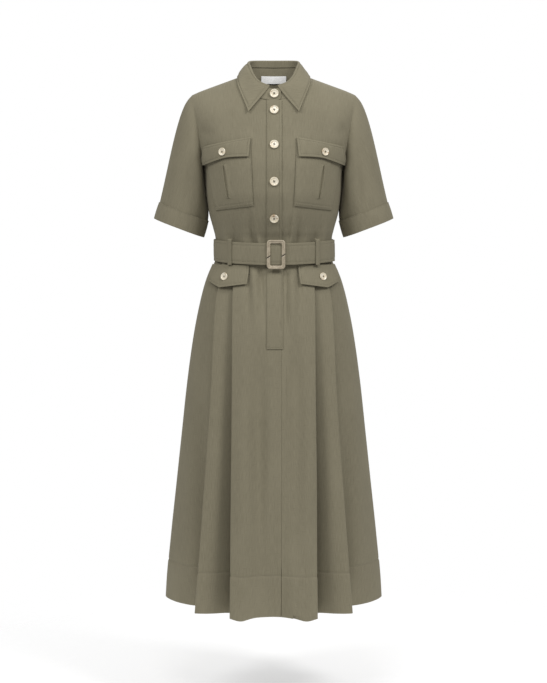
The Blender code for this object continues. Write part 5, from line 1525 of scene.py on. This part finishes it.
def thread_cross(radius):
    """Two short arched threads across the holes, and the dark ends that go down into them."""
    points, faces = [], []
    reach = radius * HOLE_SPREAD
    for turn in (math.pi / 4, -math.pi / 4):
        along = np.array((math.cos(turn), math.sin(turn), 0.0))
        beside = np.array((-along[1], along[0], 0.0))
        for shift in (-0.00016, 0.00016):
            rings = []
            for t in np.linspace(-1.0, 1.0, 11):
                rise = 0.0023 + 0.00062 * (1.0 - abs(t) ** 3) - 0.0011 * max(abs(t) - 0.82, 0.0) / 0.18
                rings.append(along * (reach * t) + beside * shift + UP * rise)
            first = len(points)
            for ring in rings:
                for k in range(6):
                    a = 2.0 * math.pi * k / 6
                    points.append(ring + beside * (0.00019 * math.cos(a)) + UP * (0.00019 * math.sin(a)))
            faces += [(a, d, c, b) for a, b, c, d in ring_faces(len(rings), 6, first)]
            faces.append(tuple(first + k for k in range(6)))
            faces.append(tuple(first + (len(rings) - 1) * 6 + k for k in reversed(range(6))))
    return np.array(points), faces


def turned_to(points, place, normal, spin):
    """Points that face +Z, spun, turned to face along the normal and put in place."""
    turn = Vector(normal).to_track_quat("Z", "Y").to_matrix()
    spun_by = np.array(((math.cos(spin), -math.sin(spin), 0), (math.sin(spin), math.cos(spin), 0), (0, 0, 1)))
    return np.asarray(points) @ spun_by.T @ np.array(turn).T + np.asarray(place)


BUTTON_MESH = {radius: drilled_button(radius) for radius in (0.0095, 0.0085)}
CROSS = {radius: thread_cross(radius) for radius in BUTTON_MESH}
for radius, mesh in BUTTON_MESH.items():
    print("button radius", radius, ":", len(mesh.polygons), "faces")


# %% Sew on the buttons
def sew_button(node, place, normal, radius, spin, patch):
    source = BUTTON_MESH[radius]
    flat = np.array([v.co[:] for v in source.vertices])
    faces = [tuple(p.vertices) for p in source.polygons]
    uvs = flat[[corner for face in faces for corner in face], :2] + np.array(patch)
    points = turned_to(flat, place, normal, spin).tolist()
    keep(mesh_object(node + "_horn", points, faces, horn, uvs, 35.0), [node])
    points, faces = CROSS[radius]
    points = turned_to(points, place, normal, spin).tolist()
    keep(mesh_object(node + "_thread", points, faces, button_thread), [])


def chest_facing(x, z):
    """Outward direction of the bodice's front round a place."""
    step = 0.004
    places = front_place(np.array((x + step, x - step, x, x)), np.array((z, z, z + step, z - step)), np.zeros(4))
    return unit(np.cross(places[0] - places[1], places[2] - places[3]))


def hip_at(off, side):
    """The hip button's place, off the skirt by so much."""
    place = hip_place(np.array([[0.0]]), np.array([[HIP_BUTTON[1]]]), np.array([[off]]))[0, 0]
    return place * np.array((side, 1, 1))


PATCHES = ((0.012, 0.031), (0.104, 0.020), (0.201, 0.066), (0.330, 0.015), (0.412, 0.090))
SPINS = (0.2, 1.0, 0.5, 1.3, 0.05)
for number, (height, patch, spin) in enumerate(zip(BUTTON_HEIGHTS, PATCHES, SPINS), start=1):
    if number == 1:
        stand_y = float(mix(neck_points(0.0), roll_points(0.0), 0.5)[1])
        place, normal = np.array((BUTTON_X, stand_y - TAB_OFF - 0.0026, height)), np.array((0.0, -1.0, 0.12))
    else:
        place = front_place(np.array(BUTTON_X), np.array(height), np.array(LIE + DOUBLE + 0.0004))
        normal = chest_facing(BUTTON_X, height)
    sew_button(f"placket_button_{number}", place, unit(normal), 0.0095, spin, patch)

for name, side, patch in (("right", -1, (0.52, 0.03)), ("left", 1, (0.61, 0.05))):
    x, z = side * CHEST_BUTTON[0], CHEST_BUTTON[1]
    grid = PIECES["flap_" + name].reshape(-1, 3)
    nearest = grid[np.argmin((grid[:, 0] - x) ** 2 + (grid[:, 2] - z) ** 2)]
    normal = chest_facing(x, z)
    sew_button("chest_button_" + name, nearest + normal * 0.0003, normal, 0.0085, 0.4 + side * 0.5, patch)
    grid = PIECES["hip_" + name].reshape(-1, 3)
    at = hip_at(0.004, side)
    nearest = grid[np.argmin(((grid - at) ** 2).sum(axis=1))]
    normal = unit(unit(hip_at(0.014, side) - at) + UP * 0.22)
    patch = (patch[0] + 0.2, 0.02)
    sew_button("hip_button_" + name, nearest + normal * 0.0003, normal, 0.0085, 0.9 - side * 0.4, patch)

# %% [markdown]
# ## Buckle
# The frame buckle is cut from one plate of pressed horn dust: a raised outer rim, a step down and a soft bevel
# into the window. Each side bar has a slanting groove. One profile is swept round the rounded rectangle, and
# the groove is cut by lowering the points near two slanting lines, and painted shade, nearly black, is coloured
# along the same lines in the material. The bar behind carries the belt's sewn end.

# %% Buckle material
BUCKLE_SLANT, BUCKLE_SHIFT, BUCKLE_DROP = 0.65, 0.00854, 0.0035


def maths(tree, operation, first, second=None, third=None):
    """A math node; each operand is a number or an output."""
    node = tree.nodes.new("ShaderNodeMath")
    node.operation = operation
    for socket, value in zip(node.inputs, (first, second, third)):
        if value is None:
            continue
        if isinstance(value, (int, float)):
            socket.default_value = value
        else:
            linked(tree, (value, socket))
    return node.outputs["Value"]


def make_pressed_horn():
    material, tree, shader = new_material(
        "beige_pressed_horn", Roughness=0.38, Coat_Weight=0.15, Coat_Roughness=0.25)
    uv = own_uv(tree)
    grains = noise_on(tree, uv, (1500.0, 1500.0, 1.0), 2.0)
    clouds = noise_on(tree, uv, (150.0, 90.0, 1.0), 3.0)
    colour = blended(tree, clouds, 0.35, 0.68, (0.45, 0.385, 0.280), (0.31, 0.258, 0.180))
    colour = blended(tree, grains, 0.52, 0.72, colour, (0.56, 0.495, 0.380))
    apart = node_of(tree, "ShaderNodeSeparateXYZ")
    across, up = apart.outputs["X"], apart.outputs["Y"]
    # painted shade: a thin band along the slanting groove line of each side bar is coloured nearly black, standing in
    # for the shade inside the groove
    offset = maths(tree, "MULTIPLY_ADD", maths(tree, "SIGN", across), BUCKLE_SHIFT, BUCKLE_DROP)
    line = maths(tree, "MULTIPLY_ADD", across, -BUCKLE_SLANT, up)
    from_groove_shade = maths(tree, "ABSOLUTE", maths(tree, "ADD", line, offset))
    colour = blended(tree, from_groove_shade, 0.0009, 0.0018, (0.045, 0.035, 0.022), colour)
    linked(tree, (uv, apart.inputs["Vector"]), (colour, shader.inputs["Base Color"]))
    raised(tree, shader, grains, 0.3, 0.0001)
    return material


pressed_horn = make_pressed_horn()
print("material:", pressed_horn.name)

# %% Buckle
BUCKLE_X, BUCKLE_MID, BUCKLE_WIDE, BUCKLE_TALL = 0.0050, -0.3773, 0.0396, 0.0622
BUCKLE_ROUND, WINDOW_ROUND = 0.0070, 0.0022
BUCKLE_BACK = -(BELT_OVAL[1] + TAIL_OFF + BELT_THICK + 0.0006)
BUCKLE_PROFILE = (          # how far in from the outline, and how far forward
    (0.0004, 0.0000), (0.0000, 0.0005), (0.0000, 0.0024), (0.0002, 0.0032), (0.0007, 0.0037), (0.0014, 0.0039),
    (0.0026, 0.0039), (0.0031, 0.0036), (0.0034, 0.0031), (0.0042, 0.0030), (0.0058, 0.0030), (0.0066, 0.0027),
    (0.0073, 0.0020), (0.0077, 0.0010), (0.0077, 0.0004), (0.0073, 0.0000),
)


def round_rectangle(wide, tall, radius, corner_steps=9, sides=(22, 70)):
    """Points round a rectangle with round corners, anticlockwise, with as many on every one."""
    points = []
    half_x, half_z = wide / 2 - radius, tall / 2 - radius
    for quarter in range(4):
        sx, sz = (1, -1, -1, 1)[quarter], (1, 1, -1, -1)[quarter]
        for k in range(corner_steps + 1):
            a = math.pi / 2 * (quarter + k / corner_steps)
            points.append((sx * half_x + radius * math.cos(a), sz * half_z + radius * math.sin(a)))
        next_x, next_z = (-1, -1, 1, 1)[quarter], (1, -1, -1, 1)[quarter]
        a = math.pi / 2 * (quarter + 1)
        end = (next_x * half_x + radius * math.cos(a), next_z * half_z + radius * math.sin(a))
        count = sides[quarter % 2]
        start = points[-1]
        points += [(mix(start[0], end[0], k / count), mix(start[1], end[1], k / count)) for k in range(1, count)]
    return np.array(points)


def box(low, high, first):
    """Corners and faces of a block, numbered from first."""
    corners = [(x, y, z) for z in (low[2], high[2]) for y in (low[1], high[1]) for x in (low[0], high[0])]
    sides = ((0, 2, 3, 1), (4, 5, 7, 6), (0, 1, 5, 4), (2, 6, 7, 3), (0, 4, 6, 2), (1, 3, 7, 5))
    return corners, [tuple(first + k for k in side) for side in sides]


rings = []
for inset, forward in BUCKLE_PROFILE:
    flat = round_rectangle(
        BUCKLE_WIDE - 2 * inset, BUCKLE_TALL - 2 * inset, max(BUCKLE_ROUND - inset, WINDOW_ROUND))
    line = flat[:, 1] - BUCKLE_SLANT * flat[:, 0] + np.sign(flat[:, 0]) * BUCKLE_SHIFT + BUCKLE_DROP
    cut = 0.0016 * np.exp(-(line / 0.0012) ** 2) * (forward > 0.0024)
    rings.append(np.stack([BUCKLE_X + flat[:, 0], BUCKLE_BACK - forward + cut, BUCKLE_MID + flat[:, 1]], axis=1))
points = np.concatenate(rings).tolist()
faces = ring_faces(len(rings), len(rings[0]), closed=True)
belt_back = -BELT_OVAL[1] - 0.0003
top, low = BUCKLE_MID + BUCKLE_TALL / 2 - 0.0005, BUCKLE_MID - BUCKLE_TALL / 2 + 0.0005
blocks = (
    ((BUCKLE_X - 0.0014, belt_back - 0.0028, low + 0.0005), (BUCKLE_X + 0.0014, belt_back, top - 0.0005)),
    ((BUCKLE_X - 0.0019, BUCKLE_BACK - 0.0010, top - 0.0025), (BUCKLE_X + 0.0019, belt_back + 0.0005, top)),
    ((BUCKLE_X - 0.0019, BUCKLE_BACK - 0.0010, low), (BUCKLE_X + 0.0019, belt_back + 0.0005, low + 0.0025)),
)
for block in blocks:
    more, sides = box(*block, len(points))
    points += more
    faces += sides
uvs = [(points[corner][0] - BUCKLE_X, points[corner][2] - BUCKLE_MID) for face in faces for corner in face]
keep(mesh_object("buckle_pressed_horn", points, faces, pressed_horn, uvs, 38.0), ["buckle"])

# %% [markdown]
# ## Topstitching
# Rows of stitches hold the edges down: round the collar, along the bands, round pockets and flaps, along the
# belt, over the cuffs and the hem. A tree of geometry nodes lays them: it walks along a line at an even pitch,
# puts one short rounded stitch at each step, and turns it along the line and flat on the cloth. The line
# itself is read from a piece's own grid at a fixed distance from its edge, so it follows every crease.

# %% Stitch tree
STITCH_SIZES = (("Pitch", 0.0030), ("Length", 0.0021), ("Thickness", 0.00050))


def make_stitch_tree():
    tree = bpy.data.node_groups.new("row_of_stitches", "GeometryNodeTree")
    face = tree.interface
    face.new_socket("Lines", in_out="INPUT", socket_type="NodeSocketGeometry")
    for label, value in STITCH_SIZES:
        socket = face.new_socket(label, in_out="INPUT", socket_type="NodeSocketFloat")
        socket.default_value = value
    face.new_socket("Thread", in_out="INPUT", socket_type="NodeSocketMaterial")
    face.new_socket("Stitches", in_out="OUTPUT", socket_type="NodeSocketGeometry")
    given = tree.nodes.new("NodeGroupInput")
    line = tree.nodes.new("GeometryNodeMeshToCurve")
    even = tree.nodes.new("GeometryNodeResampleCurve")
    even.mode = "LENGTH"
    stitch = node_of(tree, "GeometryNodeMeshUVSphere", Segments=6, Rings=5, Radius=0.5)
    sized = tree.nodes.new("GeometryNodeTransform")
    size = tree.nodes.new("ShaderNodeCombineXYZ")
    out = tree.nodes.new("GeometryNodeInputNamedAttribute")
    out.data_type = "FLOAT_VECTOR"
    out.inputs["Name"].default_value = "out"
    along = tree.nodes.new("GeometryNodeInputTangent")
    turn = tree.nodes.new("FunctionNodeAxesToRotation")
    turn.primary_axis, turn.secondary_axis = "Z", "X"
    placed = tree.nodes.new("GeometryNodeInstanceOnPoints")
    uneven = tree.nodes.new("GeometryNodeRotateInstances")
    chance = tree.nodes.new("FunctionNodeRandomValue")
    chance.data_type = "FLOAT_VECTOR"
    chance.inputs["Min"].default_value = (0.0, 0.0, -0.06)
    chance.inputs["Max"].default_value = (0.0, 0.0, 0.06)
    chance.inputs["Seed"].default_value = 5
    real = tree.nodes.new("GeometryNodeRealizeInstances")
    soft = tree.nodes.new("GeometryNodeSetShadeSmooth")
    coloured = tree.nodes.new("GeometryNodeSetMaterial")
    result = tree.nodes.new("NodeGroupOutput")
    linked(
        tree, (given.outputs["Lines"], line.inputs["Mesh"]), (line.outputs["Curve"], even.inputs["Curve"]),
        (given.outputs["Pitch"], even.inputs["Length"]), (even.outputs["Curve"], placed.inputs["Points"]),
        (given.outputs["Length"], size.inputs["X"]), (given.outputs["Thickness"], size.inputs["Y"]),
        (given.outputs["Thickness"], size.inputs["Z"]), (size.outputs["Vector"], sized.inputs["Scale"]),
        (stitch.outputs["Mesh"], sized.inputs["Geometry"]), (sized.outputs["Geometry"], placed.inputs["Instance"]),
        (out.outputs["Attribute"], turn.inputs["Primary Axis"]),
        (along.outputs["Tangent"], turn.inputs["Secondary Axis"]),
        (turn.outputs["Rotation"], placed.inputs["Rotation"]),
        (placed.outputs["Instances"], uneven.inputs["Instances"]),
        (chance.outputs["Value"], uneven.inputs["Rotation"]), (uneven.outputs["Instances"], real.inputs["Geometry"]),
        (real.outputs["Geometry"], soft.inputs["Geometry"]), (soft.outputs["Geometry"], coloured.inputs["Geometry"]),
        (given.outputs["Thread"], coloured.inputs["Material"]),
        (coloured.outputs["Geometry"], result.inputs["Stitches"]))
    return tree


stitch_tree = make_stitch_tree()
STITCH_SOCKETS = {
    item.name: item.identifier for item in stitch_tree.interface.items_tree if item.in_out == "INPUT"}
print("stitch tree:", len(stitch_tree.nodes), "nodes")


# %% Stitch lines
def track(grid, side, inset, trim=(0.0, 0.0)):
    """A line at a distance from one side of a grid, with its outward directions, trimmed at its ends."""
    normals = grid_normals(grid)
    if side in ("left", "right"):
        grid, normals = grid.transpose(1, 0, 2), normals.transpose(1, 0, 2)
    if side in ("right", "top"):
        grid, normals = grid[::-1], normals[::-1]
    reach = lengths_along(grid, 0)
    k = np.clip((reach < inset).sum(axis=0) - 1, 0, len(grid) - 2)
    column = np.arange(grid.shape[1])
    t = ((inset - reach[k, column]) / np.maximum(reach[k + 1, column] - reach[k, column], 1e-9))[:, None]
    line = mix(grid[k, column], grid[k + 1, column], t)
    out = unit(mix(normals[k, column], normals[k + 1, column], t))
    lengths = run_lengths(line)
    kept = (lengths >= trim[0] - 1e-9) & (lengths <= lengths[-1] - trim[1] + 1e-9)
    return line[kept], out[kept]


def sew(name, tracks):
    """One piece of stitches along the tracks."""
    points, outs, edges = [], [], []
    for line, out in tracks:
        first = len(points)
        points += (line + out * 0.00006).tolist()
        outs += out.tolist()
        edges += [(first + k, first + k + 1) for k in range(len(line) - 1)]
    lines = bpy.data.meshes.new(name + "_lines")
    lines.from_pydata(points, edges, [])
    directions = lines.attributes.new("out", "FLOAT_VECTOR", "POINT")
    directions.data.foreach_set("vector", np.array(outs, dtype=np.float32).ravel())
    guide = in_scene(name + "_lines", lines)
    sewing = guide.modifiers.new("stitches", "NODES")
    sewing.node_group = stitch_tree
    sewing[STITCH_SOCKETS["Thread"]] = stitch_thread
    for label, value in STITCH_SIZES:
        sewing[STITCH_SOCKETS[label]] = value
    mesh = evaluated_mesh(guide)
    bpy.data.objects.remove(guide)
    mesh.name = name
    keep(in_scene(name, mesh), [])


def three_sides(grid, inset):
    """Stitches down both sides of a patch and along its low edge."""
    trims = {"left": (inset, 0.001), "right": (inset, 0.001), "low": (inset, inset)}
    return [track(grid, side, inset, trim) for side, trim in trims.items()]


PAST_FOLD = 0.0330      # the rows down the collar's ends start this far along them
sew("collar_stitches", [
    track(collar_grid, "top", COLLAR_INSET, (COLLAR_INSET, COLLAR_INSET)),
    track(collar_grid, "left", COLLAR_INSET, (PAST_FOLD, COLLAR_INSET)),
    track(collar_grid, "right", COLLAR_INSET, (PAST_FOLD, COLLAR_INSET)),
])
sew("collar_stand_stitches", [track(stand_grid, side, 0.0020, (0.002, 0.002)) for side in ("low", "top")])
sew("front_band_stitches", [track(band_grid, "left", 0.0020), track(band_grid, "right", 0.0055)])
sew("skirt_band_stitches", [
    track(fly_grid, "left", 0.0020, (0.0035, 0.0)),
    track(fly_grid, "right", 0.0035, (0.0035, 0.0)),
    track(fly_grid, "low", 0.0035, (0.002, 0.0035)),
])
for name, side in SIDES:
    pocket, flap = PIECES["pocket_" + name], PIECES["flap_" + name]
    sew("chest_pocket_stitches_" + name, three_sides(pocket, 0.0020) + [track(pocket, "low", 0.0085, (0.002, 0.002))])
    sew("chest_flap_stitches_" + name, three_sides(flap, 0.0050) + [track(flap, "top", 0.0050, (0.001, 0.001))])
    sew("hip_flap_stitches_" + name, three_sides(PIECES["hip_" + name], 0.0045))
    sew("cuff_stitches_" + name, [track(PIECES["cuff_" + name], "top", 0.0018)])
sew("belt_stitches", [
    track(belt_grid, "low", 0.0060, (0.0, 0.006)),
    track(belt_grid, "top", 0.0060, (0.0, 0.006)),
    track(belt_grid, "right", 0.0060, (0.006, 0.006)),
])
sew("belt_loop_stitches", [
    track(PIECES["loop_" + name], side, 0.0018) for name, _, _ in LOOPS for side in ("left", "right")])
hem_row = int(np.argmin(np.abs(SKIRT_HEIGHTS - HEM - HEM_DEEP)))
sew("hem_stitches", [(grid[hem_row], grid_normals(grid)[hem_row]) for grid in SKIRT_GRIDS.values()])
print("pieces of stitches:", sum("stitches" in name for name in BUILT))

# %% Finish
print("pieces made:", len(BUILT))
